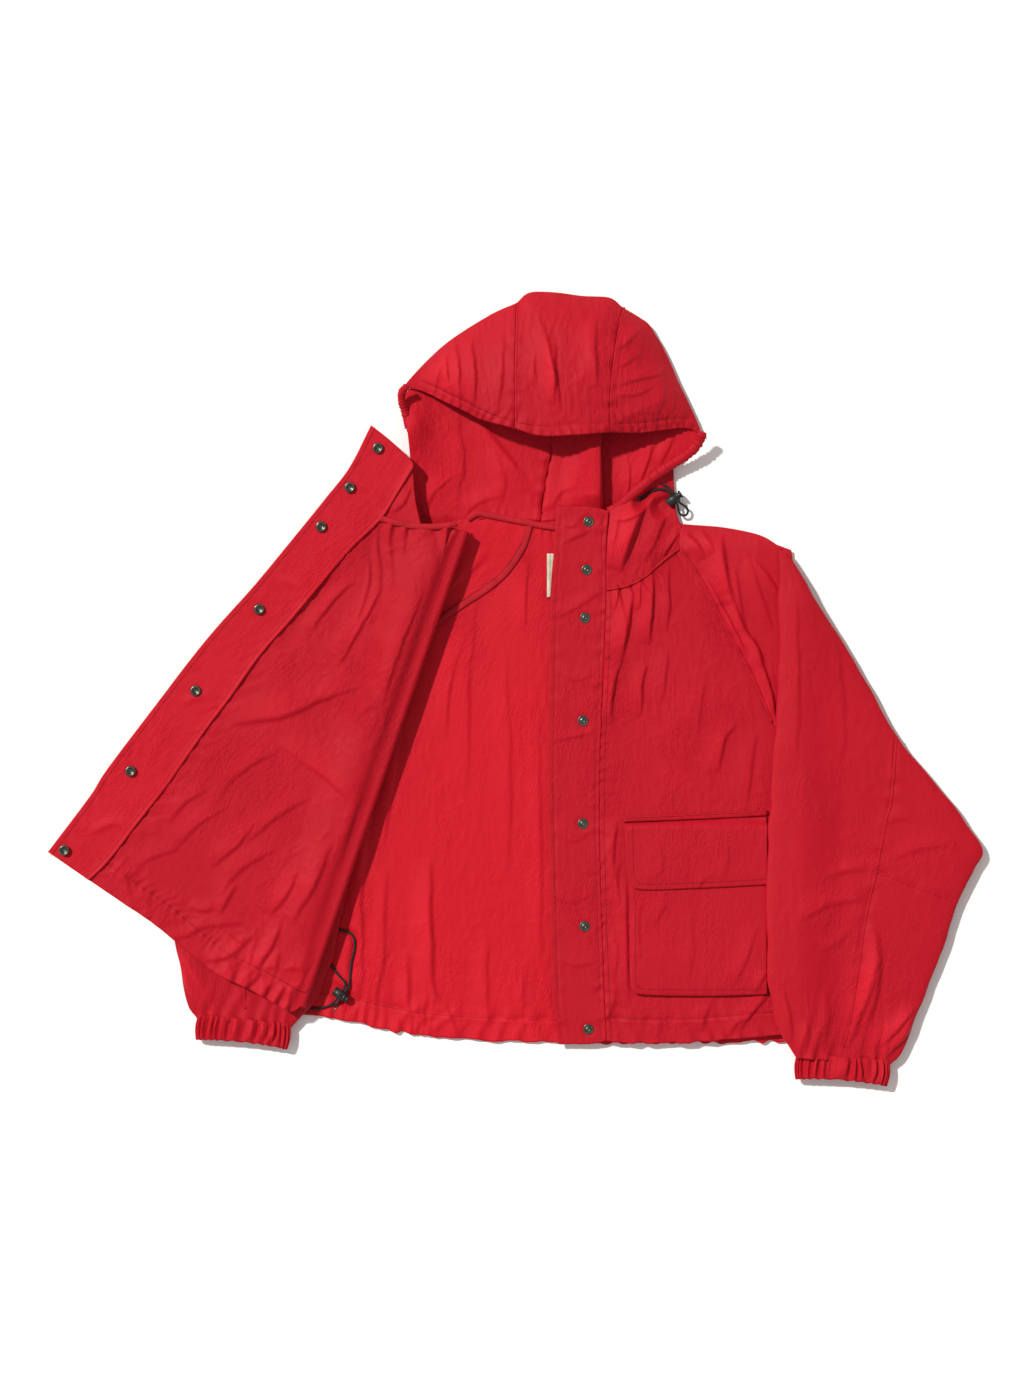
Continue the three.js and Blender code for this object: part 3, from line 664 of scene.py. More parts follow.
class Shader:
    """One material and its nodes."""

    def __init__(self, name: str) -> None:
        """Start a material with an empty tree but for its Principled shader and output."""
        self.material = bpy.data.materials.new(name)
        self.material.use_nodes = True
        self.tree = self.material.node_tree
        self.tree.nodes.clear()
        self.surface = self.node("ShaderNodeBsdfPrincipled", {}, {})
        self.node("ShaderNodeOutputMaterial", {}, {"Surface": self.surface.outputs[0]})

    def node(self, kind: str, settings: dict, values: dict) -> bpy.types.Node:
        """Add any node.

        Args:
            kind: The node's type.
            settings: Its own settings, set first.
            values: Its sockets' values or links, by name or number.
        Returns:
            The node.
        """
        made = self.tree.nodes.new(kind)
        for key, value in settings.items():
            setattr(made, key, value)
        for key, value in values.items():
            socket = made.inputs[key]
            if isinstance(value, Wire):
                value = value.socket
            if isinstance(value, bpy.types.NodeSocket):
                self.tree.links.new(value, socket)
            else:
                socket.default_value = value
        return made

    def cloth(self, scale: tuple[float, float, float] = (1, 1, 1)) -> bpy.types.NodeSocket:
        """The cloth's own measure in metres, stretched."""
        measure = self.node("ShaderNodeUVMap", {"uv_map": "cloth"}, {})
        mapped = self.node("ShaderNodeMapping", {}, {"Vector": measure.outputs[0], "Scale": scale})
        return mapped.outputs[0]

    def place(self, scale: tuple[float, float, float] = (1, 1, 1)) -> bpy.types.NodeSocket:
        """The object's coordinates in metres, stretched."""
        at = self.node("ShaderNodeTexCoord", {}, {})
        mapped = self.node("ShaderNodeMapping", {}, {"Vector": at.outputs["Object"], "Scale": scale})
        return mapped.outputs[0]

    def noise(self, where: bpy.types.NodeSocket, scale: float, detail: float = 3, rough: float = 0.55) -> Wire:
        """Cloudy noise from 0 to 1."""
        values = {"Vector": where, "Scale": scale, "Detail": detail, "Roughness": rough}
        return Wire(self, self.node("ShaderNodeTexNoise", {}, values).outputs[0])

    def attribute(self, name: str) -> Wire:
        """A number kept on the mesh's vertices."""
        made = self.node("ShaderNodeAttribute", {"attribute_name": name}, {})
        return Wire(self, made.outputs["Fac"])

    def axes(self, where: bpy.types.NodeSocket) -> tuple[Wire, Wire, Wire]:
        """A vector's three numbers."""
        made = self.node("ShaderNodeSeparateXYZ", {}, {0: where})
        return tuple(Wire(self, out) for out in made.outputs)

    def between(self, factor: Wire, a: tuple | bpy.types.NodeSocket,
        b: tuple | bpy.types.NodeSocket) -> bpy.types.NodeSocket:
        """A colour between two others."""
        made = self.node("ShaderNodeMix", {"data_type": "RGBA"}, {0: factor, 6: a, 7: b})
        return made.outputs[2]

    def bump(self, height: Wire, distance: float, strength: float = 1.0) -> None:
        """Give the surface small relief.

        Args:
            height: The relief, from 0 to 1.
            distance: How deep 1 is, in metres.
            strength: How much of it shows.
        """
        values = {"Height": height, "Distance": distance, "Strength": strength}
        made = self.node("ShaderNodeBump", {}, values)
        self.set({"Normal": made.outputs[0]})

    def set(self, values: dict) -> None:
        """Set or link the surface's sockets."""
        for key, value in values.items():
            if isinstance(value, Wire):
                value = value.socket
            if isinstance(value, bpy.types.NodeSocket):
                self.tree.links.new(value, self.surface.inputs[key])
            else:
                self.surface.inputs[key].default_value = value


def colour(red: float, green: float, blue: float) -> tuple[float, float, float, float]:
    """A colour from its display values of 0 to 255, as linear light."""
    def linear(c: float) -> float:
        """One channel through the display's curve."""
        c /= 255
        return c / 12.92 if c <= 0.04045 else ((c + 0.055) / 1.055) ** 2.4

    return (linear(red), linear(green), linear(blue), 1.0)


@dataclass(frozen=True)
class Finish:
    """What a piece is made of."""

    name: str
    tint: tuple[float, float, float]

    def material(self) -> bpy.types.Material:
        """The material, made when first asked for."""
        return bpy.data.materials.get(self.name) or self.build(Shader(self.name))

    def build(self, s: Shader) -> bpy.types.Material:
        """Fill in the shader's nodes."""
        raise NotImplementedError


@dataclass(frozen=True)
class Nylon(Finish):
    """Washed nylon: a plain weave crushed into fine ridges, rougher where they wear; paler on the ridges and the high
    cloth, partly wear and partly painted light, and deeper in the low cloth as painted shade.
    """

    # pale is the colour of worn ridges and of painted light on high cloth; deep is the colour of random darker patches
    # and of painted shade in low cloth and creases.
    pale: tuple[float, float, float] = (226, 52, 60)
    deep: tuple[float, float, float] = (146, 14, 28)
    crush: float = 0.0011

    def build(self, s: Shader) -> bpy.types.Material:
        """Colour by random patches of tone, by wear and painted light on ridges and high cloth, and by painted shade
        in low cloth; roughness by crinkle, and a bump of ridges and weave.
        """
        # Painted light and shade by height: the relief attribute makes high cloth paler and low cloth deeper.
        high = s.attribute("relief")
        patches = s.noise(s.place(), 9, 3)
        long = s.noise(s.cloth((1, 0.3, 1)), 70, 5, 0.62)
        short = s.noise(s.cloth((1, 0.42, 1)), 190, 5, 0.65)
        cross = s.noise(s.cloth((0.5, 1, 1)), 120, 4, 0.6)
        where = ((s.noise(s.place((1, 0.7, 1)), 15, 2) - 0.47) * 6).clamped()
        ridge = (1 - ((long - 0.5) * 6).size()).clamped() ** 2 * (where * 0.75 + 0.25)
        fold = (1 - ((short - 0.5) * 4.4).size()).clamped() ** 1.6
        u, v, _ = s.axes(s.cloth())
        thread = (u * 12600).sine() * (v * 12600).sine()
        crushed = ridge * 0.44 + fold * where * 0.4 + cross * 0.08 + thread * 0.02
        # Partly wear, partly painted shade: ridges paler, and the valleys between them deeper.
        rubbed_and_shaded = (ridge - 0.3) * 0.1 + (fold - 0.3) * where * 0.1
        # Random patches of tone, plus painted light on high cloth and painted shade in low cloth and between ridges.
        tone_wear_and_shade = (0.5 + high * 0.16 + (patches - 0.5) * 0.35 + rubbed_and_shaded).clamped()
        warm = s.between(tone_wear_and_shade, colour(*self.deep), colour(*self.tint))
        # Where the tone is highest the colour goes to pale: worn ridges and painted light on high cloth.
        wear_and_light = (tone_wear_and_shade * 2 - 1).clamped() ** 1.5
        s.set({
                "Base Color": s.between(wear_and_light, warm, colour(*self.pale)),
                "Roughness": 0.6 + where * 0.1 - ridge * 0.06,
                "Specular IOR Level": 0.16,
                "Sheen Weight": 0.05,
                "Sheen Roughness": 0.35,
                "Sheen Tint": (1.0, 0.42, 0.42, 1.0),
            })
        s.bump(crushed, self.crush)
        return s.material


@dataclass(frozen=True)
class Woven(Finish):
    """A small woven piece, such as a label, an elastic or a binding: ribs one way and threads the other."""

    ribs: float = 900.0
    depth: float = 0.0002
    rough: float = 0.8

    def build(self, s: Shader) -> bpy.types.Material:
        """Colour by a slight fade, and a bump of ribs and threads."""
        u, v, _ = s.axes(s.cloth())
        rib = (u * (2 * math.pi * self.ribs)).sine() * 0.5 + (v * (2 * math.pi * self.ribs)).sine() * 0.5
        fade = s.noise(s.place(), 60, 3)
        dark = tuple(0.78 * c for c in self.tint)
        s.set({
                "Base Color": s.between((fade * 1.6 - 0.3).clamped(), colour(*dark), colour(*self.tint)),
                "Roughness": self.rough,
                "Specular IOR Level": 0.3,
            })
        s.bump(rib * 0.5 + fade, self.depth)
        return s.material


@dataclass(frozen=True)
class Metal(Finish):
    """Plated brass or steel, bright in cloudy patches between its tarnish."""

    rub: tuple[float, float, float] = (190, 192, 178)
    rough: float = 0.3

    def build(self, s: Shader) -> bpy.types.Material:
        """Colour by cloudy tarnish, and fine scratches in the bump and roughness."""
        cloud = s.noise(s.place(), 420, 4)
        scratch = s.noise(s.place((1, 0.12, 1)), 2600, 2)
        s.set({
                "Base Color": s.between((cloud * 1.8 - 0.5).clamped(), colour(*self.tint), colour(*self.rub)),
                "Metallic": 1.0,
                "Roughness": self.rough + (scratch - 0.5) * 0.22,
            })
        s.bump(scratch, 0.00003)
        return s.material


@dataclass(frozen=True)
class Plastic(Finish):
    """Moulded nylon plastic with a fine grain."""

    def build(self, s: Shader) -> bpy.types.Material:
        """Colour nearly even, roughness and bump by the mould's grain."""
        grain = s.noise(s.place(), 2200, 3)
        dust = s.noise(s.place(), 240, 3)
        pale = tuple(c + 22 for c in self.tint)
        s.set({
                "Base Color": s.between((dust * 1.5 - 0.5).clamped(), colour(*self.tint), colour(*pale)),
                "Roughness": 0.36 + grain * 0.16,
                "Specular IOR Level": 0.5,
            })
        s.bump(grain, 0.00006)
        return s.material


@dataclass(frozen=True)
class Braid(Finish):
    """A braided round cord: strands that cross on two slants."""

    strands: float = 8.0
    slant: float = 700.0

    def build(self, s: Shader) -> bpy.types.Material:
        """The two slants' waves multiplied, in the colour and the bump."""
        u, v, _ = s.axes(s.cloth())
        round_ = u * (2 * math.pi * self.strands / 0.00785)
        one = (round_ + v * (2 * math.pi * self.slant)).sine()
        two = (round_ - v * (2 * math.pi * self.slant)).sine()
        strand = one * two * 0.5 + 0.5
        pale = tuple(c + 26 for c in self.tint)
        s.set({
                "Base Color": s.between(strand.clamped(), colour(*self.tint), colour(*pale)),
                "Roughness": 0.72,
                "Specular IOR Level": 0.35,
            })
        s.bump(strand, 0.00025)
        return s.material


@dataclass(frozen=True)
class Paper(Finish):
    """A seamless paper floor."""

    def build(self, s: Shader) -> bpy.types.Material:
        """Even colour with a fine tooth."""
        tooth = s.noise(s.place(), 900, 2)
        s.set({"Base Color": colour(*self.tint), "Roughness": 0.9, "Specular IOR Level": 0.1})
        s.bump(tooth, 0.00002)
        return s.material


OUTSIDE = Nylon("nylon_outside", (186, 12, 34), pale=(200, 20, 40), deep=(166, 8, 26))
INSIDE = Nylon("nylon_inside", (196, 14, 36), pale=(210, 24, 42), deep=(176, 9, 28))
# Painted light: a brighter copy of the inside cloth, used for the back's inside.
INSIDE_LIT = Nylon("nylon_back", (203, 17, 38), pale=(214, 26, 44), deep=(184, 11, 28))
BINDING = Woven("binding", (196, 16, 34), ribs=700)
THREAD = Woven("thread", (150, 8, 22), ribs=2400)
LABEL = Woven("label_cloth", (238, 232, 206), ribs=1500)
LABEL_THREAD = Woven("label_thread", (150, 160, 140), ribs=2400)
ELASTIC = Woven("elastic_webbing", (184, 14, 32), ribs=1100, depth=0.0004)
GUNMETAL = Metal("gunmetal", (62, 68, 60), rub=(128, 132, 120), rough=0.3)
STEEL = Metal("spring_wire", (150, 152, 154), rub=(214, 214, 210), rough=0.22)
BLACK = Plastic("black_moulding", (20, 26, 25))
CORD = Braid("black_cord", (12, 17, 17))
PAPER = Paper("paper", (252, 251, 250))


# ---- Cloth pieces ----


class Held(Enum):
    """How a sheet of cloth is held."""

    LAID = "laid"
    GATHERED = "gathered"
    FOLDED = "folded"


@dataclass
class Panel:
    """A laid piece of cloth between four edges: its plan, the height that it lies at, and its relief."""

    name: str
    low: Points
    right: Points
    high: Points
    left: Points
    lie: Height
    relief: tuple[Feature, ...]
    finish: Finish = OUTSIDE
    pitch: float = 2.7
    thickness: float = 0.8
    slot: str = "nylon"
    hem: float = 0.0
    rooms: tuple[Room, ...] = ()
    floor: float = 1.1

    def height(self, x: Array, y: Array) -> Array:
        """The height of its upper face: where it lies, plus its relief, and no higher than its rooms let it be."""
        z = self.lie(x, y) + relief(self.relief, x, y)
        for room in self.rooms:
            z = np.minimum(z, room.cap(x, y))
        return z

    def grid(self) -> tuple[Array, Array]:
        """Its surface points and their relief, with its low edge rippled by the hem's own noise."""
        plan = coons(self.low, self.right, self.high, self.left, self.pitch)
        x, y = plan[..., 0], plan[..., 1]
        if self.hem:
            near = np.exp(-np.linspace(0, 1, plan.shape[1]) * plan.shape[1] * self.pitch / 9)[None, :]
            y = y + self.hem * near * noise(x / 9, np.zeros_like(x), len(self.name))
        z = self.height(x, y)
        return np.stack([x, y, np.maximum(z, self.floor)], -1), z - self.lie(x, y)

    def build(self, bodies: tuple[str, ...], replaces: tuple[str, ...], held: Held, rests_on: tuple[str, ...],
        bend: tuple[tuple, tuple] | None = None) -> bpy.types.Object:
        """Make it, and fix it to its body when it has no bend.

        Args:
            bodies: The body that it rides on; with a bend, it is fixed to none.
            replaces: The frame's nodes that it stands for.
            held: How it is held; passed on to declare, which does not use it.
            rests_on: What it lies on; not used.
            bend: Where the bend between two bodies starts and ends; only whether it is given counts, and then the
                piece is fixed to no body.
        Returns:
            The piece.
        """
        grid, bumps = self.grid()
        made = spread(grid, bumps / 3, self.thickness).make(self.name, self.finish, self.slot)
        if bend:
            metres(bend[0])
            metres(bend[1])
            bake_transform(made)
        else:
            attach(made, bodies[0])
        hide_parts(*replaces)
        declare(grid, held)
        return made


def metres(point: tuple[float, ...]) -> tuple[float, ...]:
    """A point's numbers in metres."""
    return tuple(c * MM for c in point)


def declare(grid: Array, held: Held) -> None:
    """Work out a piece's cut as a sheet: as wide and long as the surface's longest runs, and of its area; the numbers
    are not kept.
    """
    wide = float(np.linalg.norm(np.diff(grid, axis=0), axis=-1).sum(0).max()) * MM
    tall = float(np.linalg.norm(np.diff(grid, axis=1), axis=-1).sum(1).max()) * MM
    area = min(area_of(grid), wide * tall)


def level(z: float) -> Height:
    """The same height everywhere."""
    return lambda x, y: np.full(np.shape(x), float(z))


def stitches(name: str, lines: list[Points], height: Height, body: str, pitch: float = 3.2, finish: Finish = THREAD,
    lift: float = 0.15) -> bpy.types.Object:
    """Rows of sewing: a small six-sided bar for each stitch, laid along its line on the cloth.

    Args:
        name: The piece's name.
        lines: The rows.
        height: The cloth's height.
        body: The body that it rides on.
        pitch: From one stitch to the next.
        finish: The thread.
        lift: How far the thread's middle lies over the cloth.
    Returns:
        The piece.
    """
    bar = rope(np.array([[-0.5, 0, -0.3], [-0.25, 0, 0.1], [0.25, 0, 0.1], [0.5, 0, -0.3]]), 0.28, 0.2, 6)
    meshes = []
    for line in lines:
        count = max(4, int(spline_length(line) / pitch))
        row = spline(line, count)
        step = np.gradient(row, axis=0)
        step /= np.linalg.norm(step, axis=1, keepdims=True)
        z = height(row[:, 0], row[:, 1]) + lift
        slope = (height(row[:, 0] + step[:, 0], row[:, 1] + step[:, 1]) + lift - z)[:, None]
        x = bar.points[None, :, 0] * (0.72 * pitch)
        px = row[:, :1] + x * step[:, :1] - bar.points[None, :, 1] * step[:, 1:]
        py = row[:, 1:] + x * step[:, 1:] + bar.points[None, :, 1] * step[:, :1]
        pz = z[:, None] + x * slope + bar.points[None, :, 2]
        faces = Rows([i + k * len(bar.points) for i in face] for k in range(count) for face in bar.faces)
        points = np.stack([px, py, pz], -1).reshape(-1, 3)
        meshes.append(Mesh(points, faces, np.tile(bar.cloth, (count, 1)), np.zeros(len(points))))
    made = join(meshes).make(name, finish, "nylon")
    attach(made, body)
    return made


def welt(name: str, line: Points, height: Height, body: str, half: float = 1.5, high: float = 0.55,
    finish: Finish | None = None) -> bpy.types.Object:
    """A felled seam: a flat rib of cloth along a line, half sunk in the cloth that it joins.

    Args:
        name: The piece's name.
        line: Where it runs.
        height: The cloth's height.
        body: The body that it rides on.
        half: Half its width.
        high: Half its height.
        finish: Its cloth, the outside's when left out.
    Returns:
        The piece.
    """
    row = spline(line, max(24, int(spline_length(line) / 2.4)))
    z = height(row[:, 0], row[:, 1]) + 0.15
    made = rope(np.column_stack([row, z]), half, high, 10).make(name, finish or OUTSIDE, "nylon")
    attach(made, body)
    return made


FOLD = next(joint for joint in frame["joints"] if joint["name"] == "right_front_fold")
FOLD_LEAN = math.atan2(FOLD["axis"][0], FOLD["axis"][1])
FOLD_MIDDLE = (FOLD["pos_m"][0] / MM, FOLD["pos_m"][1] / MM)


@dataclass(frozen=True)
class Layers:
    """The heights that the jacket's layers lie at, from the frame's nodes."""

    back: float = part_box("back_panel")[1][2] / MM
    front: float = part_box("left_placket")[1][2] / MM
    open_front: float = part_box("right_front")[1][2] / MM
    fold_axis: float = FOLD["pos_m"][2] / MM


LAYERS = Layers()


def fold_x(y: Array | float) -> Array | float:
    """The fold line's x at a y."""
    return FOLD_MIDDLE[0] + math.tan(FOLD_LEAN) * (y - FOLD_MIDDLE[1])


def from_fold(x: Array, y: Array, inset: float = 0.0) -> Array:
    """How far a point is on the opened side of the fold line, or of a line beside it."""
    return (fold_x(y) - inset - x) * math.cos(FOLD_LEAN)


def snap_rooms(kind: str, clear: float, reach: float = 5.6) -> tuple[Room, ...]:
    """Hollows for one kind of snap half: the cloth comes no higher than its plate's underside."""
    rooms = []
    for i in range(1, 8):
        low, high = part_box(f"snap_{kind}_{i}")
        x, y = (low[0] + high[0]) / 2 / MM, (low[1] + high[1]) / 2 / MM
        rooms.append(Room(np.array([[x - 0.5, y], [x + 0.5, y]]), np.full(2, high[2] / MM - clear), reach, 0.22))
    return tuple(rooms)


@dataclass
class Back:
    """The back seen from inside, its raglan yokes, the neck's binding and the label."""

    hem: Points = ((-250, -362), (-190, -369), (-129, -382), (-69, -389), (47, -394), (200, -394), (372, -390))
    raglan: Points = ((-160, -81), (-143, -8), (-112, 47), (-75, 80), (-35, 107), (-12, 127), (6, 154), (14, 178))
    raglan_left: Points = ((310, -81), (288, -8), (260, 47), (225, 80), (185, 107), (162, 127), (144, 154), (136, 178))
    neck: Points = ((-55, 184), (-43.5, 190), (-25.5, 187), (6, 181), (42, 175), (96, 176))
    shoulder: Points = ((-152, 160), (-100, 172), (-43.5, 187), (14, 180))
    label: tuple[float, float, float, float] = (32.5, 118, 98, 146)
    loft: float = 1.6
    neck_loft: float = 2.8

    def lie(self, x: Array, y: Array) -> Array:
        """Two layers up from the floor, higher where the cloth is caught in the neck's binding."""
        return LAYERS.back + self.loft + self.neck_loft * ease(y, 120, 178)

    def features(self) -> tuple[Feature, ...]:
        """Long folds down the back, gathers over the hem, and crinkles along the grain."""
        return (
            Crinkle(0.55, 90, 34, 9, 11, 0.5),
            *creases(
                ((-172, -335), (-174, -260), (-171, -185), (-160, -120), 3.4, 9),
                ((-160, -356), (-150, -300), (-146, -200), 2.2, 8), ((-150, -180), (-142, -120), (-130, -40), 2.6, 9),
                ((-84, -356), (-95, -329), (-97, -260), (-98, -190), 4.0, 10),
                ((-66, -388), (-74, -368), (-84, -350), 3.0, 8), ((-128, -380), (-121, -340), (-124, -290), 2.2, 7),
                ((-100, -386), (-104, -366), (-101, -340), 2.0, 6), ((-30, -388), (-36, -340), (-34, -270), 1.8, 8),
                ((8, -390), (4, -350), (8, -300), 1.4, 7), ((-14, -220), (-10, -100), (-16, 40), 1.5, 11),
                ((22, -330), (24, -180), (20, -20), 1.2, 8), ((-58, -120), (-56, 0), (-48, 110), 1.6, 12),
                ((-80, -60), (-76, 0), (-60, 60), 1.8, 9), ((-30, 100), (-24, 130), (-20, 160), 1.6, 7),
                ((6, 60), (8, 100), (10, 140), 1.6, 7),
            ),
            Gather(self.hem, 2.2, 22, 26, 0, 4),
            Gather(((-250, -362), (-190, -369), (-129, -382), (-80, -388)), 2.2, 14, 34, 0, 8),
            Seam(((-246, -336), (-190, -343), (-129, -356), (-69, -363), (47, -368), (200, -368), (372, -364)),
                0.9, 1.8, 0.4, 1.2, 12),
            Gather(self.neck, 1.2, 11, 24, -1, 6),
        )

    def rooms(self) -> tuple[Room, ...]:
        """Hollows under the hem's cord and its lock."""
        path = HEM_LOCK.of(spline(HEM_ROUTE, 60))
        barrel = HEM_LOCK.of(np.array([[-13.0, 0, 0], [15.0, 0, 0]]))
        return (Room(path[:, :2], path[:, 2] - 1.5, 1.2), Room(barrel[:, :2], barrel[:, 2] - 5.8, 5.8, 0.6))

    def build(self) -> None:
        """Make the back, its yokes, the bindings and the label."""
        features = self.features()
        left = self.hem[:1] + ((-205, -240),) + self.raglan
        right = self.hem[-1:] + ((345, -240),) + self.raglan_left
        back = Panel("back", self.hem, right, (self.raglan[-1], (75, 179), self.raglan_left[-1]), left, self.lie,
            features, INSIDE_LIT, 2.3, hem=2.2, rooms=self.rooms())
        back.build(("body",), ("back_panel",), Held.GATHERED, ("floor",))
        log.info("back")
        for side, raglan, shoulder in (
            (Side.RIGHT, self.raglan, self.shoulder),
            (Side.LEFT, self.raglan_left, ((302, 150), (250, 168), (190, 178), (136, 179))),
        ):
            self.yoke(side, raglan, shoulder)
        self.bindings(back)
        self.sewn_label()

    def yoke(self, side: Side, raglan: Points, shoulder: Points) -> None:
        """The raglan yoke of one side, which follows its sleeve at the armhole."""
        out = -side.value
        arm = shoulder[0]
        low = ((raglan[0][0] - out * 22, raglan[0][1] + 4), raglan[0])
        outer = (low[0], (arm[0] + out * -14, 40), arm)
        inner = raglan[:-1] + (shoulder[-1],)
        if side is Side.LEFT:
            low, outer, inner, shoulder = low[::-1], inner, outer, shoulder[::-1]
        features = (
            Crinkle(0.6, 60 if side is Side.RIGHT else 120, 26, 9, 21, 0.6),
            *creases(
                ((-60, 155), (-85, 115), (-110, 70), 2.4, 9), ((-30, 150), (-50, 132), (-85, 100), 2.0, 8),
                ((-60, 152), (-74, 136), (-96, 96), 1.6, 6),
            ),
        )
        panel = Panel(f"{side.word}_yoke_back_cloth", low, inner, shoulder, outer, self.lie, features, INSIDE_LIT, 2.6)
        x, y = raglan[0][0], 40
        bend = ((x - side.value * 30, y, 4), (x + side.value * 34, y, 4))
        panel.build(("body", f"{side.word}_sleeve"), (f"{side.word}_yoke_back",), Held.LAID, ("floor",), bend)
        log.info("%s yoke", side.word)

    def bindings(self, back: Panel) -> None:
        """The folded tape along the back neck, and the one that covers the right raglan seam inside."""
        line = spline(self.neck, 110)
        z = self.lie(line[:, 0], line[:, 1]) + 1.9 + 0.35 * noise(line[:, 0] / 8, line[:, 1] / 8, 5)
        tape = rope(np.column_stack([line, z]), 3.5, 1.9, 14).make("neck_binding", BINDING, "tape")
        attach(tape, "body")
        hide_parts("neck_tape")
        band = Panel("neck_stand", ((14, 176), (60, 172), (112, 173)), ((112, 173), (112, 194)),
            ((10, 190), (60, 188), (112, 192)), ((14, 176), (10, 190)), self.lie, (Crinkle(0.4, 0, 20, 6, 31, 0.4),),
            INSIDE_LIT, 2.6)
        band.build(("body",), ("collar_band",), Held.LAID, ("back",))
        line = spline(self.raglan[2:], 120)
        z = back.height(line[:, 0], line[:, 1]) + 0.9
        cover = rope(np.column_stack([line, z]), 3.8, 0.9, 12).make("right_raglan_binding", BINDING, "tape")
        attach(cover, "body")
        rows = [tuple(map(tuple, line + off)) for off in (np.array([2.2, -2.6]), np.array([-2.2, 2.6]))]
        stitches("right_raglan_stitches", rows, lambda x, y: back.height(x, y) + 1.5, "body")
        stitches("back_hem_stitches", [shifted(self.hem[:5], 0, 25)], back.height, "body")
        log.info("bindings")

    def sewn_label(self) -> None:
        """The woven label inside the neck: a flat strip with a sewn edge."""
        x0, x1, y0, y1 = self.label
        lie = lambda x, y: self.lie(x, y) + 2.6 + 0.25 * noise(x / 9, y / 9, 3)
        label = Panel("neck_label_cloth", ((x0, y0), (x1, y0)), ((x1, y0), (x1, y1)), ((x0, y1), (x1, y1)),
            ((x0, y0), (x0, y1)), lie, (), LABEL, 2.0, 0.5, "label")
        label.build(("body",), ("neck_label",), Held.LAID, ("back",))
        stitches("label_stitches", [((x0 + 3.4, y0 + 1), (x0 + 3.4, y1 - 1))], lie, "body", 1.9, LABEL_THREAD)
        log.info("label")


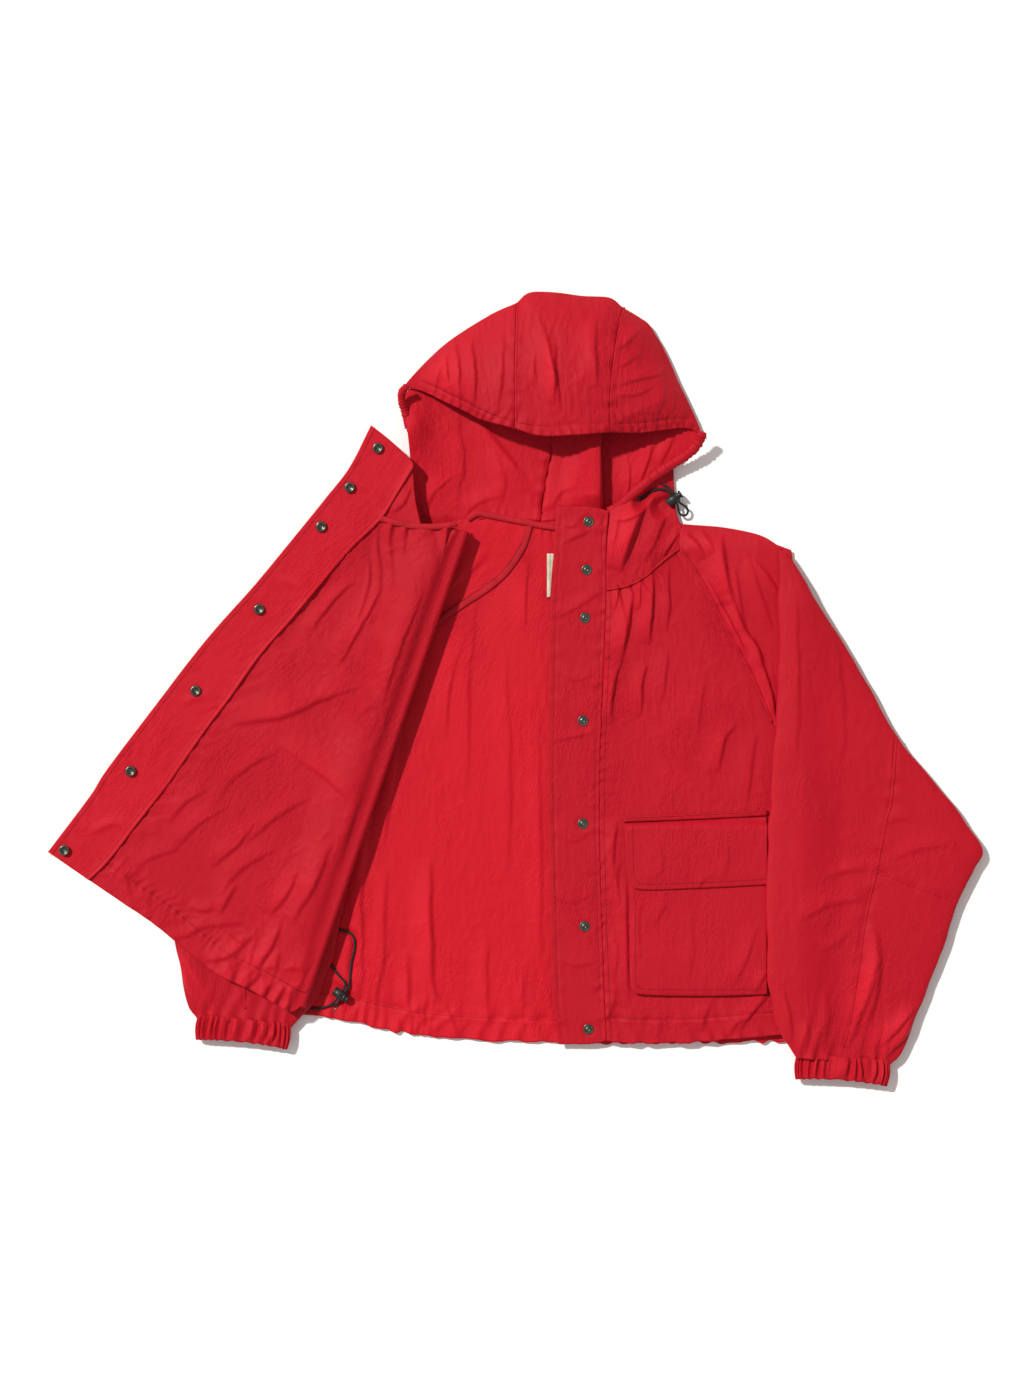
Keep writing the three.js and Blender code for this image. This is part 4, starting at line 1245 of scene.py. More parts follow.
@dataclass
class LeftFront:
    """The wearer's left front, which lies over the back: placket, front, yoke and collar."""

    placket_inner: Points = ((45, -394), (38, -332), (35, -214), (33, -81), (36, 91), (39.6, 145), (43, 197))
    placket_seam: Points = ((98.5, -391), (95.6, -332), (91, -185), (91, -81), (95, 20), (98, 104.5))
    collar_seam: Points = ((98, 104.5), (98, 150), (102, 194))
    hem: Points = ((98.5, -391), (150, -393.5), (209, -391), (289, -385), (372, -388))
    raglan: Points = ((310, -81), (280, -40), (256, 15), (232, 59), (214, 95), (197.5, 124), (179, 152))
    neckline: Points = ((98, 106), (116, 109), (128.6, 113.5), (141, 121), (151.4, 130), (164, 141), (179, 152))
    shoulder: Points = ((181, 178), (203, 177), (232, 174), (267, 166), (287, 154), (299, 143))

    def lie(self, x: Array, y: Array) -> Array:
        """On the back's two layers, and down towards the side seam and the shoulder's top."""
        return LAYERS.front + 0.9 - 4.5 * ease(x, 318, 372) - 5 * ease(y, 150, 178) * ease(x, 110, 175)

    def build(self) -> None:
        """Make the placket, the front, the yoke and the collar."""
        self.placket()
        front = self.front()
        self.yoke()
        self.collar()
        rows = [shifted(self.placket_seam, 5, 0)]
        stitches("left_front_stitches", rows, front.height, "body")
        stitches("left_hem_stitches", [shifted(self.hem, 0, 26)], front.height, "body")

    def placket(self) -> None:
        """The band that carries the studs, edge-stitched on both sides."""
        seam = self.placket_seam[:-1] + self.collar_seam[:2] + ((101, 193),)
        features = (
            Crinkle(0.32, 90, 26, 8, 41, 0.3),
            *creases(
                ((37, -60), (60, -56), (86, -49), 1.3, 5), ((40, 76), (66, 88), (94, 107), 1.2, 6),
                ((48, 158), (70, 168), (94, 182), 1.8, 6), ((44, 182), (60, 176), (84, 186), 1.4, 5),
                ((38, -230), (62, -238), (88, -224), 0.8, 5), ((42, -300), (66, -308), (90, -300), 0.9, 5),
                ((40, -158), (62, -170), (78, -160), 0.8, 6), ((42, 20), (62, 8), (88, 14), 0.8, 6),
            ),
            Seam(shifted(self.placket_inner, 6.5, 0), 0.4, 1.2, 0.2, 0.35, 9),
            Seam(shifted(seam, -5, 0), 0.4, 1.2, 0.2, 0.5, 9),
            Gather(seam, 0.6, 13, 9, 0, 43),
        )
        panel = Panel("left_placket_cloth", ((45, -394), (72, -395), (98.5, -391)), seam,
            ((43, 198), (78, 198), (101, 193)), self.placket_inner,
            lambda x, y: self.lie(x, y) - 0.1, features, OUTSIDE, 1.75, 1.6, hem=0.8,
            rooms=snap_rooms("stud", 3.6))
        panel.build(("body",), ("left_placket",), Held.LAID, ("back",))
        rows = [shifted(self.placket_inner[1:-1], 6, 0), shifted(seam[1:-1], -5, 0)]
        stitches("left_placket_stitches", rows, panel.height, "body")
        log.info("left placket")

    def front(self) -> Panel:
        """The front's main cloth, gathered into the neckline and the hem."""
        right = self.hem[-1:] + ((345, -240),) + self.raglan
        features = (
            Crinkle(0.5, 92, 30, 9, 51, 0.5),
            Gather(self.neckline, 3.2, 13, 34, -1, 52),
            Gather(self.hem, 1.6, 22, 22, 0, 54),
            Gather(self.placket_seam, 1.2, 17, 12, -1, 57),
            Seam(shifted(self.hem, 0, 26), 0.8, 1.8, 0.3, 0.9, 12),
            *creases(
                ((112, 26), (120, 65), (125, 105), 5.6, 11), ((143, 46), (147, 85), (147, 126), 5.0, 9),
                ((102, -42), (104, 0), (115, 32), 4.6, 9), ((132, -34), (136, 3), (140, 26), 3.0, 9),
                ((163, 60), (166, 96), (164, 132), 2.4, 7), ((106, 84), (109, 96), (110, 108), 2.2, 5),
                ((133, 84), (134, 100), (134, 116), 2.4, 5), ((157, -20), (161, 14), (164, 40), 1.6, 8),
                ((196, -60), (200, -20), (204, 20), 1.2, 9), ((220, -96), (226, -60), (238, -40), 2.8, 9),
                ((250, -130), (256, -90), (262, -50), 1.6, 8), ((104, -210), (105, -175), (109, -146), 2.2, 6),
                ((112, -240), (108, -216), (112, -190), 1.6, 6),
                ((121, -348), (119.5, -280), (118, -212), 2.8, 7, 0.9, 0.1),
                ((104, -330), (108, -300), (104, -262), 1.4, 7), ((92, -374), (104, -352), (108, -326), 1.6, 7),
                ((200, -380), (206, -362), (212, -350), 1.8, 6), ((244, -378), (260, -354), (276, -338), 3.4, 8),
                ((232, -386), (240, -372), (252, -364), 1.8, 6), ((150, -388), (156, -374), (154, -358), 1.2, 6),
            ),
        )
        panel = Panel("left_front_cloth", self.hem, right, self.neckline, self.placket_seam, self.lie,
            features, OUTSIDE, 1.9, hem=1.4)
        panel.build(("body",), ("left_front",), Held.GATHERED, ("back",))
        welt("left_neck_welt", self.neckline, lambda x, y: panel.height(x, y) + 1.0, "body", 1.3, 0.8)
        log.info("left front")
        return panel

    def yoke(self) -> None:
        """The raglan yoke in front, which follows the sleeve past the armhole."""
        low = ((309, -84), (322, -86), (336, -84))
        left = ((309, -84),) + self.raglan[1:] + (self.shoulder[0],)
        right = ((336, -84), (332, 20), (316, 94), (299, 143))
        features = (
            Crinkle(0.5, 112, 30, 9, 61, 0.6),
            Seam(shifted(self.raglan, 1.2, 1), 0.9, 1.7, 0.7, 0.5, 11),
            *creases(
                ((232, 50), (206, 96), (181, 142), 3.6, 6), ((254, 30), (230, 76), (204, 122), 3.2, 6),
                ((286, -62), (276, 0), (256, 56), 4.6, 9), ((272, 24), (250, 60), (234, 100), 4.4, 9),
                ((234, 90), (227, 128), (223, 168), 5.6, 11), ((250, 60), (243, 96), (238, 130), 2.2, 7),
                ((206, 140), (196, 156), (184, 168), 4.2, 6), ((216, 146), (210, 160), (200, 172), 2.6, 6),
                ((280, 60), (262, 110), (250, 150), 1.8, 9), ((288, 96), (270, 126), (256, 142), 2.2, 8),
            ),
        )
        lie = lambda x, y: self.lie(np.minimum(x, 318), y) + 1.0 + 2.6 * ease(y, 60, 130) * ease(x, 200, 270)
        panel = Panel("left_yoke_front_cloth", low, right, self.shoulder, left, lie, features, OUTSIDE, 1.8)
        panel.build(("body", "left_sleeve"), ("left_yoke_front",), Held.LAID, ("left_front_cloth",),
            ((266, 30, 12), (338, 30, 12)))
        welt("left_raglan_welt", self.raglan[1:], lambda x, y: panel.height(x, y) + 0.2, "body", 1.4, 0.7)
        log.info("left yoke")

    def collar(self) -> None:
        """The left half of the collar, from the neck seam up to the hood's band, folded over itself."""
        right = ((179, 152), (182, 172), (176, 188), (173, 214), (172, 246))
        high = ((102, 194), (112, 200), (131, 214), (152, 230), (172, 246))
        features = (
            Crinkle(0.55, 70, 22, 8, 71, 0.5),
            Gather(self.neckline, 0.9, 11, 12, 1, 72),
            *creases(
                ((110, 126), (118, 150), (127, 176), (139, 208), 9.0, 15, 0.95, 0.05),
                ((138, 136), (150, 158), (160, 184), (163, 206), 2.8, 8),
                ((102, 140), (106, 164), (110, 190), 1.6, 7), ((160, 142), (168, 156), (178, 170), 2.2, 5),
                ((104, 184), (122, 184), (142, 196), 2.4, 6),
            ),
        )
        lie = lambda x, y: (LAYERS.front + 1.2 - 4.6 * ease(x, 140, 172) - 2.4 * ease(y, 180, 225)
            - 1.5 * ease(x, 156, 172) * ease(y, 185, 205))
        path = HOOD_LOCK.of(spline(HOOD_ROUTE, 60))
        barrel = HOOD_LOCK.of(np.array([[-14.0, 0, 0], [17.0, 0, 0]]))
        rooms = (Room(path[:, :2], path[:, 2] - 1.5, 1.2, 1.0), Room(barrel[:, :2], barrel[:, 2] - 5.6, 5.8, 0.8))
        panel = Panel("left_collar_cloth", self.neckline, right, high, self.collar_seam, lie, features, OUTSIDE, 1.7,
            rooms=rooms)
        panel.build(("body", "hood"), ("left_collar",), Held.FOLDED, ("back",), ((140, 184, 8), (140, 226, 8)))
        log.info("left collar")


@dataclass
class Pocket:
    """A patch pocket with a flap: the bag stands a little off the front, and the flap hangs over its mouth."""

    side: Side

    def build(self) -> None:
        """Make the bag and the flap of one side."""
        if self.side is Side.LEFT:
            self.lying()
        else:
            self.under()

    def lying(self) -> None:
        """The left pocket, which lies face up."""
        bag_low = ((123.5, -322), (126, -334), (138, -339.5), (200, -341), (262, -339.5), (274.5, -339))
        bag = Panel(
            "left_pocket_bag", bag_low, ((274.5, -339), (274.5, -158)), ((122, -158), (274.5, -156)),
            ((123.5, -322), (122, -158)),
            lambda x, y: LAYERS.front + 4.6 + 2.2 * self.stand(x, y, 120, 280, -343, -120),
            (
                Crinkle(0.4, 88, 26, 8, 81, 0.5),
                *creases(
                ((134, -300), (133, -262), (136, -230), 1.4, 6), ((150, -262), (160, -240), (158, -226), 1.2, 7),
                ((236, -330), (252, -296), (262, -262), 1.4, 7), ((262, -336), (268, -322), (276, -312), 1.8, 5),
                ((186, -330), (192, -290), (190, -250), 0.8, 9),
                ),
            ),
            OUTSIDE, 1.8, 2.6)
        bag.build(("body",), ("left_pocket",), Held.LAID, ("left_front_cloth",))
        flap_low = ((120.5, -206), (124, -218), (138, -224), (200, -222), (262, -219), (274.5, -218))
        flap = Panel(
            "left_pocket_flap_cloth", flap_low, ((274.5, -218), (274.5, -144)),
            ((117.5, -151.5), (200, -148), (274.5, -144)),
            ((120.5, -206), (117.5, -151.5)),
            lambda x, y: LAYERS.front + 2.4 + 7.4 * ease(-y, 145, 157) - 0.8 * ease(-y, 204, 224),
            (
                Crinkle(0.3, 84, 24, 8, 91, 0.4),
                *creases(
                ((124, -157), (190, -153), (268, -148), 0.7, 4), ((150, -214), (158, -196), (154, -172), 0.8, 7),
                ((225, -214), (230, -190), (226, -168), 0.7, 8), ((196, -222), (204, -214), (214, -206), 1.0, 5),
                ),
            ),
            OUTSIDE, 1.7, 1.8)
        flap.build(("left_flap",), ("left_pocket_flap",), Held.LAID, ("left_pocket_bag",))
        row = ((126.5, -156), (127.5, -204), (131, -213), (141, -217.5), (200, -216), (262, -213), (272, -212))
        stitches("left_flap_stitches", [row], flap.height, "left_flap")
        stitches("left_pocket_stitches", [((129, -228), (130, -322), (134, -330), (142, -333), (200, -334),
                (274, -333))],
            bag.height, "body")
        welt("left_pocket_top_welt", ((117, -147), (200, -143.5), (275, -139.5)), level(LAYERS.front + 2.2), "body",
            3.2, 1.1)
        stitches("left_pocket_top_stitches", [((119, -145.5), (200, -142), (275, -138))], level(LAYERS.front + 3.5),
            "body")
        log.info("left pocket")

    def stand(self, x: Array, y: Array, x0: float, x1: float, y0: float, y1: float) -> Array:
        """How far a pouch stands up: 0 at its edges, and 1 a wall's width inside them."""
        inner = np.minimum(np.minimum(x - x0, x1 - x), np.minimum(y - y0, y1 - y))
        return 1 - np.exp(-np.maximum(inner, 0) / 3.5)

    def under(self) -> None:
        """The right pocket, which hangs under the opened front, made closed and turned over with it."""
        x0, x1, y1, y0 = -134.0, 18.0, -158.0, -340.0
        bag_low = ((x0, y0 + 18), (x0 + 3, y0 + 6), (x0 + 15, y0), (x1 - 15, y0), (x1 - 3, y0 + 6), (x1, y0 + 18))
        bag = Panel("right_pocket_bag", bag_low, ((x1, y0 + 18), (x1, y1)), ((x0, y1), (x1, y1)),
            ((x0, y0 + 18), (x0, y1)),
            lambda x, y: 20.6 + 2.4 * self.stand(x, y, x0, x1, y0, y1 + 40),
            (Crinkle(0.5, 88, 26, 8, 181, 0.5),
                Seam(((x0 + 6, y1), (x0 + 7, y0 + 20), (x0 + 18, y0 + 7), (x1 - 18, y0 + 7), (x1 - 7, y0 + 20),
                (x1 - 6, y1)),
                0.5, 1.2, 0.2, 0.4, 9)), OUTSIDE, 2.3, 0.9)
        flap_low = ((x0 - 1, -206), (x0 + 3, -218), (x0 + 14, -222), (x1 - 14, -222), (x1 - 3, -218), (x1 + 1, -206))
        flap = Panel("right_pocket_flap_cloth", flap_low, ((x1 + 1, -206), (x1 + 1, -150)),
            ((x0 - 1, -150), (x1 + 1, -150)),
            ((x0 - 1, -206), (x0 - 1, -150)), lambda x, y: 21.0 + 4.2 * ease(-y, 149, 160),
            (Crinkle(0.4, 84, 24, 8, 191, 0.4),), OUTSIDE, 2.3, 1.2)
        for panel, node, under in ((bag, "right_pocket", "right_front_cloth"),
            (flap, "right_pocket_flap", "right_pocket_bag")):
            grid, bumps = panel.grid()
            mesh = spread(grid, bumps / 3, panel.thickness)
            mesh.points = opened(mesh.points)
            made = mesh.make(panel.name, OUTSIDE, "nylon")
            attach(made, "right_front")
            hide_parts(node)
            declare(grid, Held.LAID)
        log.info("right pocket")


def opened(points: Array) -> Array:
    """The closed right front's points turned half way round the fold: mirrored across it and over its height."""
    nx, ny = math.cos(FOLD_LEAN), -math.sin(FOLD_LEAN)
    off = (points[..., 0] - FOLD_MIDDLE[0]) * nx + (points[..., 1] - FOLD_MIDDLE[1]) * ny
    return np.stack([points[..., 0] - 2 * off * nx, points[..., 1] - 2 * off * ny,
            2 * LAYERS.fold_axis - points[..., 2]], -1)


@dataclass
class RightFront:
    """The wearer's right front, folded back open with its inside up: panel, placket, binding and the strip below."""

    outer: Points = ((-515, -182), (-469, -121), (-449, -90), (-393, -16), (-357, 31), (-329, 65), (-287, 112),
        (-245, 163),
        (-211, 205), (-184, 240), (-160.5, 286))
    facing: Points = ((-471, -212), (-449, -190), (-419, -151), (-385, -107), (-343, -47), (-318, -14), (-284, 34),
        (-245, 79), (-189, 146), (-152, 183))
    hem: Points = ((-471, -212), (-434, -237), (-396, -263), (-337, -311), (-304, -328), (-278, -341), (-250, -357),
        (-241, -353))
    neckline: Points = ((-152, 183), (-129, 177), (-106, 173), (-77, 174), (-63, 168))
    bend_radius: float = 5.0
    bend_inset: float = 3.0

    def lie(self, x: Array, y: Array) -> Array:
        """The opened front's height: level over the sleeve, lower at its outer edge, and a loose roll by the fold."""
        away = from_fold(x, y)
        billow = (2.5 + 2.5 * ease(y, -320, -220) + 3.0 * ease(y, -200, 60) - 4.0 * ease(y, 120,
                180)) * np.exp(-(((away - 30) / 26) ** 2)) * ease(away, 0, 22)
        return LAYERS.open_front - 1.3 + billow - 2.0 * ease(away, 200, 330)

    def features(self) -> tuple[Feature, ...]:
        """Gathers under the neck and over the hem, and long soft folds down the panel."""
        hem_row = shifted(self.hem, 14, 22)
        return (
            Crinkle(0.95, 124, 26, 8, 101, 0.8),
            Gather(self.neckline, 4.4, 16, 52, -1, 102),
            Gather(self.hem[3:], 5.2, 15, 34, 1, 103),
            Gather(self.hem[:5], 1.4, 24, 18, 1, 104),
            Gather(self.facing, 1.2, 24, 18, 0, 105),
            Seam(hem_row, 0.8, 1.8, 0.3, 0.9, 12),
            *creases(
                ((-262, 40), (-246, 62), (-214, 104), (-186, 130), -2.6, 12, 0.2),
                ((-320, -40), (-262, -30), (-206, -10), (-170, 4), 3.2, 14),
                ((-262, -62), (-216, -92), (-170, -134), 2.2, 12), ((-230, 60), (-206, 90), (-180, 118), 2.4, 10),
                ((-200, 20), (-176, 60), (-150, 110), 2.6, 10), ((-150, -20), (-128, 50), (-104, 110), 2.8, 11),
                ((-330, -120), (-300, -90), (-262, -70), 2.0, 10),
                ((-300, -170), (-262, -140), (-226, -120), 2.2, 11),
                ((-380, -180), (-350, -150), (-318, -130), 1.8, 9),
                ((-330, -230), (-300, -196), (-262, -176), 2.0, 10),
                ((-250, -260), (-226, -220), (-206, -170), 3.2, 11),
                ((-196, -196), (-186, -160), (-172, -120), 2.2, 8),
                ((-306, -334), (-288, -318), (-278, -292), 3.4, 8),
                ((-280, -340), (-268, -315), (-262, -290), 3.2, 7),
                ((-248, -346), (-234, -314), (-214, -286), 4.0, 9),
                ((-340, -308), (-322, -318), (-302, -334), 2.2, 7),
                ((-372, -276), (-340, -262), (-300, -258), 1.8, 8),
                ((-420, -200), (-400, -186), (-372, -178), 1.4, 7),
                ((-260, -256), (-271, -287), (-294, -312), 3.4, 7),
                ((-346, -301), (-314, -294), (-289, -272), 2.6, 6),
                ((-324, -268), (-307, -283), (-290, -299), 2.2, 5),
                ((-243, -201), (-253, -226), (-273, -251), 3.0, 9),
                ((-310, -216), (-320, -236), (-328, -250), 2.8, 8),
                ((-360, -240), (-346, -246), (-332, -243), 2.2, 6),
                ((-290, -150), (-310, -176), (-338, -196), 2.4, 9),
                ((-384, -150), (-366, -128), (-342, -112), 1.8, 8),
            ),
            Gather(hem_row, 1.6, 10, 8, 0, 105),
        )

    def build(self) -> None:
        """Make the panel with its bend, the placket, the binding and the strip."""
        self.panel()
        self.placket()
        self.binding()
        self.strip()

    def panel(self) -> None:
        """The opened panel, whose last columns turn down round the fold to meet the strip below.

        The bend is half a circle about a line that runs just outside of the fold line, at the axis's height.
        """
        top, bottom = 170.0, -352.0
        edge = tuple((fold_x(y) - self.bend_inset, y) for y in np.linspace(bottom, top, 9))
        plan = coons(self.hem[:-1] + (edge[0],), edge, self.neckline[:-1] + (edge[-1],), self.facing, 2.15)
        x, y = plan[..., 0], plan[..., 1]
        bumps = relief(self.features(), x, y)
        away = from_fold(x, y, self.bend_inset)
        calm = ease(away, 0, 16)
        lock = opened(HEM_LOCK.of(np.array([[-13.0, 0, 5.8], [15.0, 0, 5.8]])))
        room = Room(lock[:, :2], lock[:, 2] - 1.0, 6.5, 0.5)
        cloth = np.minimum(self.lie(x, y) + np.clip(bumps, -2.4, 4.0), room.cap(x, y))
        z = (LAYERS.fold_axis + self.bend_radius) * (1 - calm) + cloth * calm
        flat = np.stack([x, y, z], -1)
        turn = np.linspace(0, math.pi, 11)[1:]
        cos, sin = math.cos(FOLD_LEAN), math.sin(FOLD_LEAN)
        last = flat[-1]
        out = self.bend_radius * np.sin(turn)[:, None]
        bend = np.stack([last[None, :, 0] + out * cos, last[None, :, 1] - out * sin,
                LAYERS.fold_axis + self.bend_radius * np.cos(turn)[:, None] * np.ones_like(last[None, :, 0])], -1)
        back = bend[-1][None] + np.linspace(0, 1, 5)[1:, None, None] * np.array([-9.0, 3.0, -0.6])
        grid = np.concatenate([flat, bend, back])
        bumps = np.concatenate([bumps, np.zeros((len(grid) - len(flat), grid.shape[1]))])
        # Painted shade: the opened panel shows its inside, but takes the outside's darker tint, a shaded copy of the
        # inside cloth.
        made = wall(grid, bumps / 3, 0.8).make("right_front_cloth", OUTSIDE, "nylon")
        start = np.array([FOLD_MIDDLE[0], FOLD_MIDDLE[1], LAYERS.fold_axis - self.bend_radius])
        end = start + np.array([-3 * cos, 3 * sin, 9])
        metres(start)
        metres(end)
        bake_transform(made)
        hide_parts("right_front")
        declare(grid, Held.GATHERED)
        height = lambda px, py: self.lie(px, py) + relief(self.features(), px, py)
        stitches("right_hem_stitches", [shifted(self.hem, 14, 22)], height, "right_front")
        log.info("right front")

    def placket(self) -> None:
        """The faced band that carries the sockets: the facing's turned edge stands over the panel."""
        facing = self.facing[:-1] + ((-152, 183), (-132.6, 213), (-116, 240))
        inner = shifted(facing, 1.5, -1.2)
        features = (
            Crinkle(0.35, 128, 26, 8, 111, 0.6),
            Gather(inner, 0.7, 19, 12, 1, 112),
            Gather(self.outer, 0.7, 24, 12, -1, 113),
            *creases(
                ((-470, -160), (-440, -150), (-425, -165), 1.8, 7, 0.2),
                ((-370, -20), (-345, -10), (-330, -24), 1.2, 6, 0.0),
                ((-262, 118), (-240, 112), (-224, 100), 1.2, 6, 0.0),
                ((-186, 232), (-160, 214), (-146, 196), 1.4, 6, 0.0),
            ),
        )

        def lie(x: Array, y: Array) -> Array:
            """The panel's height, and a little over it at the facing's edge."""
            near, _ = beside(spline(inner, 60), x, y)
            return self.lie(x, y) + 0.8 + 1.9 * np.exp(-((near / 4.0) ** 2))
        panel = Panel("right_placket_cloth", (self.outer[0], inner[0]), inner,
            (self.outer[-1], (-138, 268), (-116, 247), inner[-1]), self.outer, lie, features, INSIDE, 1.75, 1.6,
            rooms=snap_rooms("socket", 3.0))
        panel.build(("right_front",), ("right_placket",), Held.LAID, ("right_front_cloth",))
        rows = [shifted(self.outer, 4, -3.6), shifted(inner[:-1], -4, 3)]
        stitches("right_placket_stitches", rows, panel.height, "right_front")
        stand = Panel("right_collar_stand", ((-153, 183), (-129, 177), (-105, 174.5)),
            ((-105, 174.5), (-112, 205), (-115.5, 245)),
            ((-121, 237), (-115.5, 245)), ((-153, 183), (-134, 213), (-121, 237)),
            lambda x, y: self.lie(x, y) - 0.4, (Crinkle(0.6, 100, 20, 7, 115, 0.8),
                Crease(((-140, 190), (-126, 200), (-118, 220)), 2.0, 7)), OUTSIDE, 1.9)
        stand.build(("right_front",), (), Held.LAID, ("right_front_cloth",))
        log.info("right placket")

    def binding(self) -> None:
        """The folded tape along the right front's neckline."""
        line = spline(((-151, 184), (-129, 178), (-106, 174.5), (-82, 175), (-66, 178)), 70)
        z = self.lie(line[:, 0], line[:, 1]) + 1.4 + 0.4 * noise(line[:, 0] / 8, line[:, 1] / 8, 7)
        tape = rope(np.column_stack([line, z]), 3.4, 1.9, 14).make("right_neck_binding", BINDING, "tape")
        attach(tape, "right_front")
        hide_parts("right_neck_tape")

    def strip(self) -> None:
        """The part of the right front that stays down, rising from the side seam to the fold."""
        low, high = -330.0, 150.0
        seam = ((fold_x(low) - 8, low), (-240, -240), (-196, -81), (-146, 60), (-122, 140))
        fold = tuple((fold_x(y) - self.bend_inset - 4, y) for y in (low, -170.0, 0.0, high))
        axis = LAYERS.fold_axis

        def lie(x: Array, y: Array) -> Array:
            """From the floor's layer at the seam up to the underside of the bend."""
            away = from_fold(x, y)
            return axis - self.bend_radius - 0.6 - 12.2 * ease(away, 8, 48)

        panel = Panel("right_front_side_cloth", ((seam[0][0], low), fold[0]), fold, (seam[-1], fold[-1]), seam, lie,
            (Crinkle(0.4, 100, 28, 9, 121, 0.3),), OUTSIDE, 2.8)
        panel.build(("body",), ("right_front_side",), Held.FOLDED, ("back",))
        log.info("right side strip")


@dataclass
class Sleeve:
    """A raglan sleeve laid flat: a closed pillow of cloth from the shoulder to a gathered cuff.

    Its outline is about its shoulder pivot, with the arm towards -y and the body on its -x side.
    """

    side: Side
    inner: Points = ((16.5, -547), (9, -535), (-5, -511), (-14, -466), (-16, -421), (-16, -354), (-14, -286),
        (-12, -263),
        (-7, -180), (-5, -123), (-4, -51), (-3, -13), (-4, 10))
    outer: Points = ((120, -555), (134, -540), (154.5, -488), (170, -450), (194, -381), (213, -340), (221, -316),
        (190.5, -271),
        (167, -241), (127, -193), (110.5, -165), (92, -131), (64, -85), (24, -20), (4, 12))
    long_seam: Points = ((127, -193), (121, -263), (115, -286), (104, -342), (94, -387), (86, -439), (77, -500),
        (69, -535))
    elbow_seam: Points = ((105, -342), (150, -360), (193, -376))
    half_thickness: float = 7.2
    cuff_length: float = 21.0

    def place(self) -> Place:
        """Where the pivot is."""
        return Place(290, 138, 0) if self.side is Side.LEFT else Place(-134, 158, 0, -10.5)

    def laid(self, grid: Array) -> Array:
        """The sleeve's own grid in the jacket's place, mirrored for the right."""
        flip = np.array([self.side.value, 1, 1])
        return self.place().of(grid * flip)

    def middle(self, x: Array, y: Array) -> Array:
        """The height of the sleeve's middle: over the front beside the body, and down to the floor past it."""
        if self.side is Side.LEFT:
            return 19.4 - 7.6 * ease(x, 18, 70)
        return np.full(np.shape(x), 9.8)

    def features(self) -> tuple[Feature, ...]:
        """Seams, gathers over the cuff, and folds that swing round the elbow, in the sleeve's own plan."""
        wrist = ((16.5, -546), (68, -552), (120, -555))
        seed = 131 if self.side is Side.LEFT else 151
        return (
            Crinkle(0.4, 96, 30, 9.5, seed, 0.6),
            Gather(wrist, 3.4, 17, 36, 0, seed + 1),
            Seam(self.long_seam, 0.9, 1.9, 0.6, 0.7, 11),
            Seam(self.elbow_seam, 0.8, 1.9, 0.4, 0.5, 11),
            *creases(
                ((12, -236), (16, -130), (12, -30), 1.6, 11), ((60, -250), (66, -170), (52, -60), 1.4, 13),
                ((94, -514), (106, -458), (104, -418), (97, -400), 5.0, 8, 0.9, 0.08),
                ((73, -535), (90, -488), (107, -433), 4.6, 8, 0.9, 0.08),
                ((105, -535), (125, -516), (148, -489), 3.6, 8), ((112, -546), (135, -523), (155, -488), 4.2, 8),
                ((24, -542), (29, -522), (25, -506), 2.4, 7), ((44, -540), (52, -500), (46, -474), 2.6, 8),
                ((10, -530), (8, -500), (0, -470), 2.0, 7), ((50, -347), (70, -341), (95, -338), 2.0, 7),
                ((16, -397), (50, -378), (90, -370), 2.2, 9), ((40, -430), (60, -420), (78, -402), 1.2, 7),
                ((118, -330), (150, -316), (196, -312), 1.4, 8), ((108, -292), (128, -284), (146, -286), 1.2, 7),
            ),
        )

    def grid(self) -> tuple[Array, Array]:
        """The pillow: across, a flat oval between the outline's two edges; along, the outline's own run.

        The height is the middle plus half the thickness times the sine of the angle to the power 0.62.
        """
        count = 230 if self.side is Side.LEFT else 170
        around = 210 if self.side is Side.LEFT else 150
        one, two = spline(self.inner, count)[None], spline(self.outer, count)[None]
        angle = np.linspace(0, 2 * np.pi, around, endpoint=False)[:, None, None]
        share = 0.5 - 0.5 * np.cos(angle)
        share = share + 0.18 * (share - 0.5) * (1 - (2 * share - 1) ** 2)
        plan = one + (two - one) * share
        x, y = plan[..., 0], plan[..., 1]
        rise = np.sin(angle[..., 0])
        run = np.linspace(0, 1, count)[None, :]
        plump = self.half_thickness * np.minimum(1, 0.55 + 1.4 * run) * np.minimum(1, 0.25 + 7 * (1 - run))
        bumps = relief(self.features(), x, y)
        under = relief((Crinkle(0.6, 96, 30, 9.5, 171, 0.6),), x, y)
        shape = np.sign(rise) * np.abs(rise) ** 0.62
        lifted = np.where(rise >= 0, bumps, under * 0.7) * np.clip(np.abs(rise) * 2.2, 0, 1)
        z = self.middle(x, y) + plump * shape + lifted
        roll = 1.2 * noise(y / 21, np.zeros_like(y), 9) * np.abs(np.cos(angle[..., 0])) ** 6
        return np.stack([x + roll, y, np.maximum(z, 1.6)], -1), bumps

